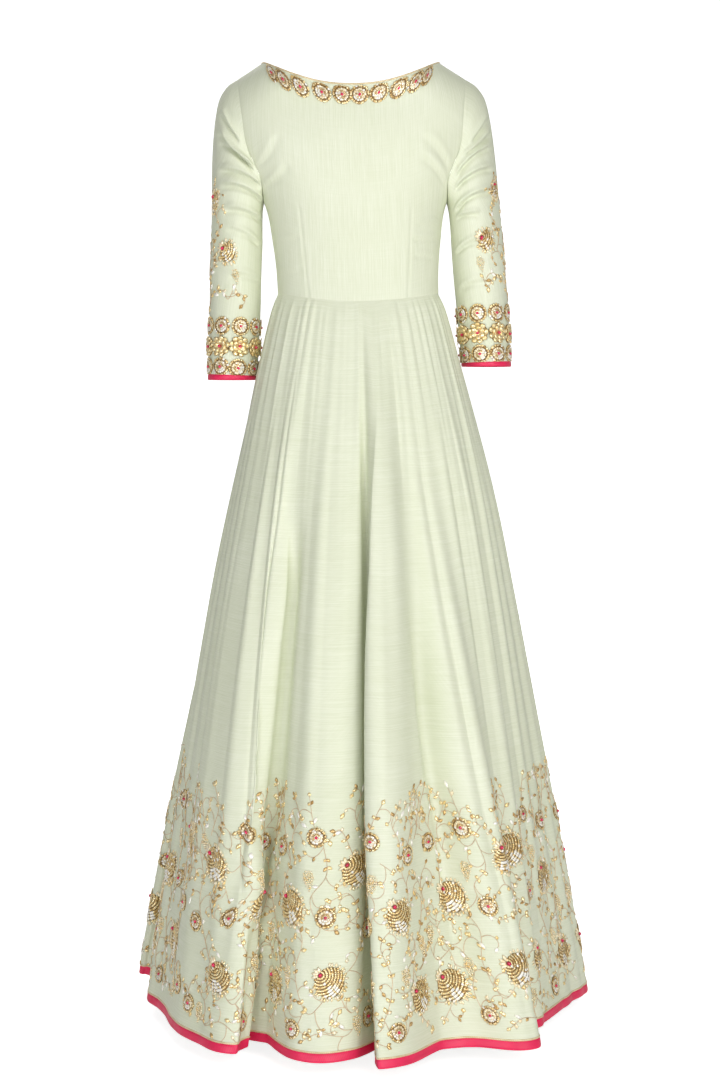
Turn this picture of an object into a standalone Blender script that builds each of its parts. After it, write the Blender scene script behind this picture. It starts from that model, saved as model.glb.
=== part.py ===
"""An anarkali gown in its worn, hollow form, with nobody inside.

Metres, +Z up. The gown faces -Y and the wearer's left is +X. The origin lies midway between the two
points where the shoulder seams meet the neck edge, and the whole gown hangs below it.

Each piece starts as a flat grid in pattern space (across, along), gets a second layer for the other
face of the cloth, and is then laid on its worn surface.
"""

from collections import namedtuple
from math import cos, pi, radians, sin, sqrt

import bmesh
import bpy
from mathutils import Vector

GOWN = "anarkali_gown"

# Cloth and seams
CLOTH = 0.0014
BINDING_CLOTH = 0.0020
BINDING_PROUD = 0.0003
SEAM = 0.0004
ARMHOLE_GAP = 0.0007
PROBE = 0.0005

# Bodice
WAIST_DROP = 0.335
WAIST_SIDE_LIFT = 0.013
UNDERARM_DROP = 0.195
UNDERARM_SCOOP = 0.6
NECK_HALF = 0.125
NECK_CURVE = 2.2
BACK_NECK_DEPTH = 0.041
FRONT_NECK_DEPTH = 0.050
SHOULDER_HALF = 0.160
SHOULDER_SLOPE = 0.63
SHOULDER_ROLL = 0.070
ROUNDNESS = 2.3
BODICE_COLUMNS = 18
SIDE_ROWS = 4
ARMHOLE_ROWS = 8
NECK_COLUMNS = 14
NECK_SHARE = NECK_COLUMNS / BODICE_COLUMNS

# Sleeves
SLEEVE_ROWS = 10
CAP_BLEND = 0.30
CUFF_BINDING = 0.0068
LEFT_CUFF_DROP = 0.443
RIGHT_CUFF_DROP = 0.424

# Skirt
HEM_DROP = 1.320
HEM_HALF = 0.305
HEM_BACK = 0.300
HEM_FRONT = 0.292
FLARE = 0.80
GORES = 12
GORE_COLUMNS = 9
GORE_ROWS = 8
ROW_CROWDING = 1.25
HEM_BINDING = 0.0115
HEM_PIPING = 0.0022

# Neck piping
PIPING_RADIUS = 0.0014

# The centre line's sideways lean as the weight rests on one leg
WAIST_LEAN = -0.0105
HEM_LEAN = -0.025

# Half width and front and back reach of the bodice at each height, from the waist up
Torso = namedtuple("Torso", "height half_width back front")
TORSO = (
    Torso(-0.345, 0.1135, 0.080, 0.086),
    Torso(-0.300, 0.1140, 0.080, 0.089),
    Torso(-0.255, 0.1180, 0.084, 0.098),
    Torso(-0.195, 0.1290, 0.092, 0.114),
    Torso(-0.120, 0.1680, 0.098, 0.105),
    Torso(-0.050, 0.1850, 0.090, 0.079),
    Torso(0.040, 0.1900, 0.082, 0.060),
)

# Sideways reach of the armhole edge at each height, from the underarm up to the shoulder
Armhole = namedtuple("Armhole", "height half_width")
ARMHOLE = (
    Armhole(-0.195, 0.1290),
    Armhole(-0.165, 0.1305),
    Armhole(-0.120, 0.1480),
    Armhole(-0.070, 0.1545),
    Armhole(-0.022, 0.1600),
)

# The sleeve's outer and inner edges, its half depth and how far forward it sits, by share of its length
Sleeve = namedtuple("Sleeve", "share outer outer_drop inner inner_drop half_depth forward")
SLEEVE = (
    Sleeve(0.00, 0.1600, 0.0220, 0.1290, 0.1950, 0.056, 0.000),
    Sleeve(0.08, 0.1760, 0.0330, 0.1305, 0.2020, 0.058, 0.002),
    Sleeve(0.18, 0.1890, 0.0560, 0.1315, 0.2120, 0.057, 0.004),
    Sleeve(0.34, 0.1985, 0.1150, 0.1325, 0.2330, 0.054, 0.008),
    Sleeve(0.55, 0.2040, 0.2050, 0.1350, 0.2750, 0.049, 0.014),
    Sleeve(0.78, 0.2110, 0.3080, 0.1395, 0.3450, 0.045, 0.022),
    Sleeve(1.00, 0.2165, 0.4330, 0.1465, 0.4330, 0.042, 0.030),
)

# Each large fold of the skirt: the turn of its middle from centre back towards the wearer's left, half
# its width, its height at the hem, how far its crest leans over, and where down the skirt it starts
Fold = namedtuple("Fold", "turn half_width height lean start growth")
FOLDS = (
    Fold(53, 20, 0.060, -16, 0.20, 1.0),
    Fold(12, 15, 0.066, -1, 0.12, 1.1),
    Fold(-12, 10, 0.088, 6, 0.03, 0.9),
    Fold(-30, 12, 0.066, -4, 0.25, 1.2),
    Fold(-67, 22, -0.014, 0, 0.30, 1.2),
    Fold(-98, 20, 0.015, 0, 0.20, 1.2),
    Fold(-127, 15, 0.050, 6, 0.18, 1.1),
    Fold(-155, 15, 0.062, -8, 0.08, 1.0),
    Fold(-184, 14, 0.056, 4, 0.20, 1.1),
    Fold(-213, 15, 0.066, 8, 0.12, 1.0),
    Fold(-243, 15, 0.044, -6, 0.26, 1.2),
    Fold(-278, 16, 0.014, 0, 0.24, 1.2),
)

Finish = namedtuple("Finish", "colour roughness metallic")
MINT_SILK = Finish((0.72, 0.76, 0.60), 0.55, 0.0)
PINK_BINDING = Finish((0.75, 0.02, 0.10), 0.45, 0.0)
CREAM_PIPING = Finish((0.84, 0.78, 0.60), 0.50, 0.0)


def clear_scene():
    """Take every object out of the scene."""
    for item in list(bpy.data.objects):
        bpy.data.objects.remove(item)


def collection_for_gown():
    """Make the collection that holds the gown's pieces."""
    gown = bpy.data.collections.new(GOWN)
    bpy.context.scene.collection.children.link(gown)
    return gown


def material_for(name, finish):
    """Make a plain Principled material."""
    material = bpy.data.materials.new(name)
    material.use_nodes = True
    shader = material.node_tree.nodes["Principled BSDF"]
    shader.inputs["Base Color"].default_value = (*finish.colour, 1.0)
    shader.inputs["Roughness"].default_value = finish.roughness
    shader.inputs["Metallic"].default_value = finish.metallic
    return material


def clamp(value, low=0.0, high=1.0):
    """Keep a value between two limits."""
    return max(low, min(high, value))


def read_table(rows, key, column, place):
    """Read a column at a place between the rows, along a smooth curve through them."""
    places = [getattr(row, key) for row in rows]
    values = [getattr(row, column) for row in rows]
    place = clamp(place, places[0], places[-1])
    last = len(rows) - 1
    row = max(0, min(last - 1, sum(place > start for start in places) - 1))
    span = places[row + 1] - places[row]

    def slope(at):
        low, high = max(0, at - 1), min(last, at + 1)
        return (values[high] - values[low]) / (places[high] - places[low])

    share = (place - places[row]) / span
    rise = values[row + 1] - values[row]
    bend_in = slope(row) * span - rise
    bend_out = rise - slope(row + 1) * span
    return values[row] + share * rise + share * (1 - share) * ((1 - share) * bend_in + share * bend_out)


def lean(height):
    """Sideways place of the gown's centre line at a height."""
    if height > -WAIST_DROP:
        return WAIST_LEAN * -height / WAIST_DROP
    below = (-height - WAIST_DROP) / (HEM_DROP - WAIST_DROP)
    return WAIST_LEAN + (HEM_LEAN - WAIST_LEAN) * below


def torso_point(side, height, facing):
    """Point on the bodice at a place across and up; facing is 1 on the back and -1 on the front."""
    half_width = read_table(TORSO, "height", "half_width", height)
    reach = read_table(TORSO, "height", "back" if facing > 0 else "front", height)
    across = max(0.0, 1.0 - abs(side / half_width) ** ROUNDNESS) ** (1.0 / ROUNDNESS)
    ridge = SHOULDER_SLOPE * (NECK_HALF - abs(side))
    below_ridge = clamp((ridge - height) / SHOULDER_ROLL)
    roll = sqrt(max(0.0, 1.0 - (1.0 - below_ridge) ** 2))
    return Vector((side + lean(height), facing * reach * across * roll, height))


def waist_height(turn_sine):
    """Height of the waist seam, which dips at the middle of the front and back."""
    return -WAIST_DROP + WAIST_SIDE_LIFT * turn_sine**2


def waist_edge(across):
    """Side and height of the waist seam at a place across a panel, from -1 to 1."""
    turn_sine = sin(across * pi / 2)
    height = waist_height(turn_sine)
    return Vector((read_table(TORSO, "height", "half_width", height) * turn_sine, height))


def neck_edge(across, depth):
    """Side and height of a panel's top edge: the neck curve, then the shoulder seam."""
    share = abs(across)
    if share < NECK_SHARE:
        side = NECK_HALF * share / NECK_SHARE
        height = -depth * (1.0 - (side / NECK_HALF) ** NECK_CURVE)
    else:
        side = NECK_HALF + (SHOULDER_HALF - NECK_HALF) * (share - NECK_SHARE) / (1.0 - NECK_SHARE)
        height = SHOULDER_SLOPE * (NECK_HALF - side)
    return Vector((side if across >= 0 else -side, height))


def armhole_height(share):
    """Height of the armhole edge, which rises slowly out of the underarm and faster above it."""
    rise = UNDERARM_SCOOP * (1.0 - cos(share * pi / 2)) + (1.0 - UNDERARM_SCOOP) * share
    return -UNDERARM_DROP + (ARMHOLE[-1].height + UNDERARM_DROP) * rise


def outer_edge(along):
    """Side and height of a panel's outer edge: the side seam, then the armhole."""
    underarm = SIDE_ROWS / (SIDE_ROWS + ARMHOLE_ROWS)
    if along <= underarm:
        start = waist_height(1.0)
        height = start + (-UNDERARM_DROP - start) * along / underarm
        return Vector((read_table(TORSO, "height", "half_width", height), height))
    height = armhole_height((along - underarm) / (1.0 - underarm))
    return Vector((read_table(ARMHOLE, "height", "half_width", height), height))


def bodice_point(across, along, facing):
    """Point of a bodice panel; across runs -1 to 1 and along 0 to 1, from the waist up."""
    depth = BACK_NECK_DEPTH if facing > 0 else FRONT_NECK_DEPTH
    right_share = (1.0 + across) / 2
    edge = outer_edge(along)
    left_edge = Vector((-edge.x, edge.y))
    bottom_corner, top_corner = outer_edge(0.0), outer_edge(1.0)
    rise = (edge.y - bottom_corner.y) / (top_corner.y - bottom_corner.y)
    corners = Vector((across * bottom_corner.x, bottom_corner.y)) * (1.0 - rise)
    corners += Vector((across * top_corner.x, top_corner.y)) * rise
    flat = waist_edge(across) * (1.0 - rise) + neck_edge(across, depth) * rise
    flat += left_edge * (1.0 - right_share) + edge * right_share - corners
    point = torso_point(flat.x, flat.y, facing)
    return point + Vector((0.0, facing * SEAM / 2, 0.0))


def armhole_point(turn):
    """Point of the left armhole; turn runs from the shoulder over the back and under, to 2 pi."""
    facing = 1 if turn <= pi else -1
    height = armhole_height(abs(1.0 - turn / pi))
    side = read_table(ARMHOLE, "height", "half_width", height)
    return torso_point(side, height, facing) - Vector((lean(height), 0.0, 0.0))


def sleeve_ellipse(turn, share, cuff_drop):
    """Point of the left sleeve's plain tube at a share of its length."""
    row = {name: read_table(SLEEVE, "share", name, share) for name in Sleeve._fields[1:]}
    stretch = 1.0 + (cuff_drop / SLEEVE[-1].outer_drop - 1.0) * share
    outer = Vector((row["outer"], 0.0, -row["outer_drop"] * stretch))
    inner = Vector((row["inner"], 0.0, -row["inner_drop"] * stretch))
    middle = (outer + inner) / 2 + Vector((0.0, -row["forward"], 0.0))
    return middle + (outer - inner) / 2 * cos(turn) + Vector((0.0, row["half_depth"] * sin(turn), 0.0))


def sleeve_point(turn, share, wearer_side, cuff_drop):
    """Point of a sleeve: the armhole's own curve, easing into a tube down to the cuff."""
    point = sleeve_ellipse(turn, share, cuff_drop)
    fade = clamp(1.0 - share / CAP_BLEND) ** 2
    point += (armhole_point(turn) - sleeve_ellipse(turn, 0.0, cuff_drop)) * fade
    point.x = (point.x + ARMHOLE_GAP) * wearer_side + lean(point.z)
    return point


def skirt_point(turn, share):
    """Point of the skirt; turn goes round from centre back to the wearer's left, share runs to the hem."""
    reach, swing = 0.0, 0.0
    for fold in FOLDS:
        offset = (turn - radians(fold.turn) + pi) % (2 * pi) - pi
        near = offset / radians(fold.half_width)
        if abs(near) >= 1.0 or share <= fold.start:
            continue
        grown = ((share - fold.start) / (1.0 - fold.start)) ** fold.growth
        shape = (1.0 - near**2) ** 1.5 * grown
        reach += fold.height * shape
        swing += radians(fold.lean) * shape
    angle = turn + swing
    facing = 1 if cos(angle) >= 0 else -1
    top = waist_height(sin(angle))
    height = top + (-HEM_DROP - top) * share
    waist = torso_point(read_table(TORSO, "height", "half_width", top) * sin(angle), top, facing)
    waist.x -= lean(top)
    hem_depth = HEM_BACK if facing > 0 else HEM_FRONT
    hem = Vector((HEM_HALF * sin(angle), hem_depth * cos(angle), 0.0))
    spread = share**FLARE
    plan = waist * (1.0 - spread) + hem * spread + Vector((sin(angle), cos(angle), 0.0)) * reach
    return Vector((plan.x + lean(height), plan.y, height))


def outward(surface, across, along, limits):
    """Unit normal of a surface, from its slopes both ways."""
    (left, right), (low, high) = limits
    before, after = max(left, across - PROBE), min(right, across + PROBE)
    under, over = max(low, along - PROBE), min(high, along + PROBE)
    sideways = surface(after, along) - surface(before, along)
    lengthways = surface(across, over) - surface(across, under)
    return sideways.cross(lengthways).normalized()


def pattern_grid(columns, rows, closed):
    """Flat sheet of quads from 0 to 1 both ways, with a second layer for the cloth's other face.

    A closed sheet has its two ends joined, so that it makes a tube. Each point keeps its place in the
    pattern, and its layer, in the vertex layer called pattern.
    """
    mesh = bmesh.new()
    bmesh.ops.create_grid(mesh, x_segments=columns, y_segments=rows, size=0.5)
    pattern = mesh.verts.layers.float_vector.new("pattern")
    for vertex in mesh.verts:
        across, along = vertex.co.x + 0.5, vertex.co.y + 0.5
        vertex[pattern] = Vector((across, along, 0.0))
        if closed:
            turn = 2 * pi * across
            vertex.co = Vector((cos(turn), sin(turn), along))
    if closed:
        bmesh.ops.remove_doubles(mesh, verts=mesh.verts, dist=0.0001)
    made = bmesh.ops.duplicate(mesh, geom=mesh.faces[:])
    inner = [item for item in made["geom"] if isinstance(item, bmesh.types.BMVert)]
    for vertex in inner:
        across, along, _ = vertex[pattern]
        vertex[pattern] = Vector((across, along, 1.0))
    inner_faces = [item for item in made["geom"] if isinstance(item, bmesh.types.BMFace)]
    bmesh.ops.reverse_faces(mesh, faces=inner_faces)
    if closed:
        bmesh.ops.scale(mesh, vec=(0.5, 0.5, 1.0), verts=inner)
    else:
        bmesh.ops.translate(mesh, vec=(0.0, 0.0, -0.5), verts=inner)
    edges = [edge for edge in mesh.edges if edge.is_boundary]
    if closed:
        for end in (0.0, 1.0):
            rim = [edge for edge in edges if abs(edge.verts[0][pattern].y - end) < PROBE]
            bmesh.ops.bridge_loops(mesh, edges=rim)
    else:
        bmesh.ops.bridge_loops(mesh, edges=edges)
    return mesh, pattern


def cloth_piece(name, surface, columns, rows, thickness, closed=False, proud=0.0):
    """Lay a pattern grid on its worn surface and return it as an object.

    The surface takes a place across and along, and returns the point and the unit normal there.
    """
    mesh, pattern = pattern_grid(columns, rows, closed)
    for vertex in mesh.verts:
        across, along, layer = vertex[pattern]
        point, normal = surface(across, along)
        vertex.co = point + normal * (proud - layer * (thickness + proud))
    bmesh.ops.triangulate(mesh, faces=mesh.faces[:])
    bmesh.ops.recalc_face_normals(mesh, faces=mesh.faces[:])
    mesh.verts.layers.float_vector.remove(pattern)
    data = bpy.data.meshes.new(name)
    mesh.to_mesh(data)
    mesh.free()
    data.shade_smooth()
    return bpy.data.objects.new(name, data)


def add_piece(gown, piece, material):
    """Dress a piece in its material and put it in the gown's collection."""
    piece.data.materials.append(material)
    gown.objects.link(piece)


def bodice_panel(name, facing):
    """Front or back of the bodice, from the waist seam to the neck and shoulder seams."""
    limits = ((-1.0, 1.0), (0.0, 1.0))

    def surface(share, along):
        across = (2 * share - 1) * facing
        normal = outward(lambda a, b: bodice_point(a, b, facing), across, along, limits)
        point = bodice_point(across, along, facing)
        return point, normal * -facing

    return cloth_piece(name, surface, BODICE_COLUMNS, SIDE_ROWS + ARMHOLE_ROWS, CLOTH)


def sleeve_tube(name, wearer_side, cuff_drop, start, end, rows, thickness, proud=0.0):
    """A closed length of a sleeve, between two shares of its length."""

    def surface(across, along):
        turn = 2 * pi * across
        share = start + (end - start) * along

        def point_at(at_turn, at_share):
            return sleeve_point(at_turn % (2 * pi), at_share, wearer_side, cuff_drop)

        normal = outward(point_at, turn, share, ((-pi, 3 * pi), (0.0, 1.0)))
        return point_at(turn, share), normal * -wearer_side

    return cloth_piece(name, surface, 2 * ARMHOLE_ROWS, rows, thickness, True, proud)


def skirt_surface(first_turn, last_turn, start, end, crowding, gap):
    """Surface of one stretch of the skirt, with half a seam's gap taken off each side."""

    def surface(across, along):
        turn = first_turn + (last_turn - first_turn) * across
        share = start + (end - start) * along**crowding
        normal = outward(skirt_point, turn, share, ((-4 * pi, 4 * pi), (0.0, 1.0)))
        point = skirt_point(turn, share)
        if gap and across in (0.0, 1.0):
            sideways = (skirt_point(turn + PROBE, share) - skirt_point(turn - PROBE, share)).normalized()
            point += sideways * (gap / 2 if across == 0.0 else -gap / 2)
        return point, -normal if normal.dot(Vector((point.x, point.y, 0.0))) < 0 else normal

    return surface


def add_bodice(gown, silk):
    """Front and back panels."""
    for name, facing in (("bodice_front", -1), ("bodice_back", 1)):
        add_piece(gown, bodice_panel(name, facing), silk)


def cuff_share(length):
    """Share of a sleeve that a length takes up just above its cuff."""
    end, above = SLEEVE[-1], SLEEVE[-2]
    drop = (end.outer_drop - above.outer_drop + end.inner_drop - above.inner_drop) / 2
    return length * (end.share - above.share) / drop


def add_sleeves(gown, silk, pink):
    """Set-in sleeves with a narrow binding round each cuff."""
    binding_start = 1.0 - cuff_share(CUFF_BINDING)
    sleeve_end = binding_start - cuff_share(SEAM)
    for side_name, wearer_side, cuff_drop in (("left", 1, LEFT_CUFF_DROP), ("right", -1, RIGHT_CUFF_DROP)):
        sleeve = sleeve_tube(
            f"sleeve_{side_name}", wearer_side, cuff_drop, 0.0, sleeve_end, SLEEVE_ROWS, CLOTH
        )
        add_piece(gown, sleeve, silk)
        binding = sleeve_tube(
            f"cuff_binding_{side_name}", wearer_side, cuff_drop, binding_start, 1.0, 1,
            BINDING_CLOTH, BINDING_PROUD,
        )
        add_piece(gown, binding, pink)


def add_skirt(gown, silk, pink, cream):
    """Gores side by side round the waist, with a piping and a binding round the hem."""
    length = HEM_DROP - WAIST_DROP
    top = SEAM / length
    binding_start = 1.0 - HEM_BINDING / length
    piping_end = binding_start - SEAM / length
    piping_start = piping_end - HEM_PIPING / length
    gore_end = piping_start - SEAM / length
    for number in range(GORES):
        first = 2 * pi * number / GORES
        surface = skirt_surface(first, first + 2 * pi / GORES, top, gore_end, ROW_CROWDING, SEAM)
        name = f"skirt_gore_{number + 1:02d}"
        add_piece(gown, cloth_piece(name, surface, GORE_COLUMNS, GORE_ROWS, CLOTH), silk)
    columns = GORES * GORE_COLUMNS
    for name, start, end, material in (
        ("hem_piping", piping_start, piping_end, cream),
        ("hem_binding", binding_start, 1.0, pink),
    ):
        surface = skirt_surface(0.0, 2 * pi, start, end, 1.0, 0.0)
        add_piece(gown, cloth_piece(name, surface, columns, 1, BINDING_CLOTH, True, BINDING_PROUD), material)


def neck_line():
    """Middle line of the piping, which runs once round the neck edge just above the cloth."""
    limits = ((-1.0, 1.0), (0.0, 1.0))
    edges, ways = [], []
    for facing in (1, -1):

        def surface(across, along, side=facing):
            return bodice_point(across, along, side)

        for step in range(NECK_COLUMNS):
            across = (1.0 - 2 * step / NECK_COLUMNS) * NECK_SHARE * facing
            edge = surface(across, 1.0)
            normal = outward(surface, across, 1.0, limits)
            inward = normal if normal.y * facing < 0 else -normal
            edges.append(edge + inward * CLOTH / 2)
            ways.append(edge - surface(across, 1.0 - PROBE))
    for corner in (0, NECK_COLUMNS):
        ways[corner] = Vector((-edges[corner].x, 0.0, NECK_HALF))
    points = []
    for place, (edge, way) in enumerate(zip(edges, ways)):
        run = (edges[(place + 1) % len(edges)] - edges[place - 1]).normalized()
        upward = (way - run * way.dot(run)).normalized()
        points.append(edge + upward * (PIPING_RADIUS + CLOTH / 2))
    return points


def add_neck_piping(gown, cream):
    """A round piping on the neck edge, as a bevelled closed curve."""
    points = neck_line()
    curve = bpy.data.curves.new("neck_piping", "CURVE")
    curve.dimensions = "3D"
    curve.bevel_depth = PIPING_RADIUS
    curve.bevel_resolution = 1
    spline = curve.splines.new("POLY")
    spline.points.add(len(points) - 1)
    spline.use_cyclic_u = True
    for slot, point in zip(spline.points, points):
        slot.co = (*point, 1.0)
    add_piece(gown, bpy.data.objects.new("neck_piping", curve), cream)


def main():
    """Build the gown from the bodice down."""
    clear_scene()
    gown = collection_for_gown()
    silk = material_for("mint_silk", MINT_SILK)
    pink = material_for("pink_binding", PINK_BINDING)
    cream = material_for("cream_piping", CREAM_PIPING)
    add_bodice(gown, silk)
    add_sleeves(gown, silk, pink)
    add_skirt(gown, silk, pink, cream)
    add_neck_piping(gown, cream)


main()
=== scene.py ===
"""The looks of an anarkali gown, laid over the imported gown's own form.

Metres, +Z up. The gown faces -Y and the wearer's left is +X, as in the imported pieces. Every cloth is
a grid in pattern space (across, along) that is laid on the worn form, then given its gathers, folds
and creases. The beadwork is stamped flat, measured from the cloth's edge, and laid on that cloth.
"""

from __future__ import annotations

import logging
from collections.abc import Callable, Sequence
from dataclasses import dataclass, field
from enum import Enum, IntEnum
from functools import cache
from math import atan2, cos, hypot, pi, radians, sin

import bmesh
import bpy
import numpy as np
from mathutils import Matrix, Vector


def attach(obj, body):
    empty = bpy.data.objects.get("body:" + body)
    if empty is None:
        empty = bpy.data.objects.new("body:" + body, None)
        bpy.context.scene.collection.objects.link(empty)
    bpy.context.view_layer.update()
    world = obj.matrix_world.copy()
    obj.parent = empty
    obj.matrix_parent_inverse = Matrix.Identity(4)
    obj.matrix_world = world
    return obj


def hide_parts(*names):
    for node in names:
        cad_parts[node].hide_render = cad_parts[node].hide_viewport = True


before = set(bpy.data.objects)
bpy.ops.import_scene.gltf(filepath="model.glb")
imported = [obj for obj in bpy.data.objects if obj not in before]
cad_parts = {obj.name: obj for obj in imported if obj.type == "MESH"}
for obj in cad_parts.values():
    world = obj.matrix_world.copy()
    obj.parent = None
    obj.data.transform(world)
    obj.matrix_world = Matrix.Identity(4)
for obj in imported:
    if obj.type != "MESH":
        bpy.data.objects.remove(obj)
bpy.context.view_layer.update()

LOG = logging.getLogger("anarkali")
BODY = "root"
TINY = 1e-9
SEAM_MERGE = 1e-6

Array = np.ndarray
Colour = tuple[float, float, float]
Place = tuple[float, float]
Point = tuple[float, float, float]
Row = tuple[float, ...]
Mesh = bpy.types.Mesh
Material = bpy.types.Material
Piece = bpy.types.Object
Socket = bpy.types.NodeSocket
Shape = Callable[[Array, Array], Array]
Relief = Callable[[Array, Array, Array, Array], Array]


class Slot(Enum):
    """The record's material slots."""

    SILK = "mint_silk"
    PINK = "pink_binding"
    CREAM = "cream_piping"


class Facing(Enum):
    """Front or back of the gown, as the sign of Y."""

    BACK = 1
    FRONT = -1


class Grain(Enum):
    """Which way the slubs of the silk run on a piece."""

    ROUND = 0.0
    UPRIGHT = pi / 2


# ---------------------------------------------------------------- arithmetic


def ease(value: Array) -> Array:
    """Return a smooth step of a value clipped to 0 and 1."""
    held = np.clip(value, 0.0, 1.0)
    return held * held * (3.0 - 2.0 * held)


def unit(vectors: Array) -> Array:
    """Return vectors scaled to length one."""
    return vectors / np.maximum(np.linalg.norm(vectors, axis=-1, keepdims=True), TINY)


def stacked(*parts: Array) -> Array:
    """Return x, y and z arrays as one array of points."""
    return np.stack(np.broadcast_arrays(*parts), axis=-1)


def bell(value: Array) -> Array:
    """Return a bell curve that is 1 at nothing."""
    return np.exp(-(value**2))


def crown(share: Array) -> Array:
    """Return the rounded height of a tape, from one edge to the other."""
    return np.sqrt(np.maximum(0.0, 1.0 - (2.0 * share - 1.0) ** 6))


def nearest_turn(degrees_round: Array) -> Array:
    """Return an angle brought between half a turn back and half a turn on."""
    return np.mod(degrees_round + 180.0, 360.0) - 180.0


@dataclass(frozen=True)
class Table:
    """Values at rising places, read along a smooth curve through them."""

    places: Row
    values: Row

    def at(self, place: Array) -> Array:
        """Read the table.

        Args:
            place: Where to read, held to the table's ends.

        Returns:
            The value at each place.
        """
        places, values = np.array(self.places), np.array(self.values)
        place = np.clip(place, places[0], places[-1])
        last = len(places) - 1
        rows = np.arange(last + 1)
        high, low = np.minimum(rows + 1, last), np.maximum(rows - 1, 0)
        slopes = (values[high] - values[low]) / (places[high] - places[low])
        row = np.clip(np.searchsorted(places, place, side="left") - 1, 0, last - 1)
        span = places[row + 1] - places[row]
        share = (place - places[row]) / span
        rise = values[row + 1] - values[row]
        bend_in = slopes[row] * span - rise
        bend_out = rise - slopes[row + 1] * span
        bend = share * (1.0 - share) * ((1.0 - share) * bend_in + share * bend_out)
        return values[row] + share * rise + bend


# ---------------------------------------------------------------- the worn form


@dataclass(frozen=True)
class Torso:
    """The bodice's own shape, and the waist that the skirt hangs from."""

    waist_drop: float = 0.335
    waist_side_lift: float = 0.013
    hem_drop: float = 1.320
    waist_lean: float = -0.0105
    hem_lean: float = -0.025
    roundness: float = 2.3
    shoulder_slope: float = 0.63
    shoulder_roll: float = 0.070
    neck_half: float = 0.125
    heights: Row = (-0.345, -0.300, -0.255, -0.195, -0.120, -0.050, 0.040)
    half_widths: Row = (0.1135, 0.1140, 0.1180, 0.1290, 0.1680, 0.1850, 0.1900)
    back: Row = (0.080, 0.080, 0.084, 0.092, 0.098, 0.090, 0.082)
    front: Row = (0.086, 0.089, 0.098, 0.114, 0.105, 0.079, 0.060)

    def lean(self, height: Array) -> Array:
        """Return the centre line's place across at each height."""
        above = self.waist_lean * -height / self.waist_drop
        below = (-height - self.waist_drop) / (self.hem_drop - self.waist_drop)
        return np.where(
            height > -self.waist_drop,
            above,
            self.waist_lean + (self.hem_lean - self.waist_lean) * below,
        )

    def half_width(self, height: Array) -> Array:
        """Return half the bodice's width at each height."""
        return Table(self.heights, self.half_widths).at(height)

    def point(self, side: Array, height: Array, facing: Array) -> Array:
        """Lay places across and up on the front or back of the body.

        Args:
            side: Place across, from the centre line.
            height: Place up.
            facing: 1 on the back and -1 on the front.

        Returns:
            The points, with the lean left out.
        """
        back = Table(self.heights, self.back).at(height)
        front = Table(self.heights, self.front).at(height)
        reach = np.where(facing > 0, back, front)
        flat = np.abs(side / self.half_width(height)) ** self.roundness
        across = np.maximum(0.0, 1.0 - flat) ** (1.0 / self.roundness)
        ridge = self.shoulder_slope * (self.neck_half - np.abs(side))
        below = np.clip((ridge - height) / self.shoulder_roll, 0.0, 1.0)
        roll = np.sqrt(np.maximum(0.0, 1.0 - (1.0 - below) ** 2))
        return stacked(side, facing * reach * across * roll, height)

    def leaned(self, points: Array) -> Array:
        """Return points moved across with the centre line."""
        moved = points.copy()
        moved[..., 0] += self.lean(points[..., 2])
        return moved

    def upright(self, points: Array) -> Array:
        """Return points with the centre line's lean taken off."""
        moved = points.copy()
        moved[..., 0] -= self.lean(points[..., 2])
        return moved

    def waist_height(self, sine: Array) -> Array:
        """Return the height of the waist seam, which dips at centre front and back."""
        return -self.waist_drop + self.waist_side_lift * sine**2


# ---------------------------------------------------------------- cloth


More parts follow.
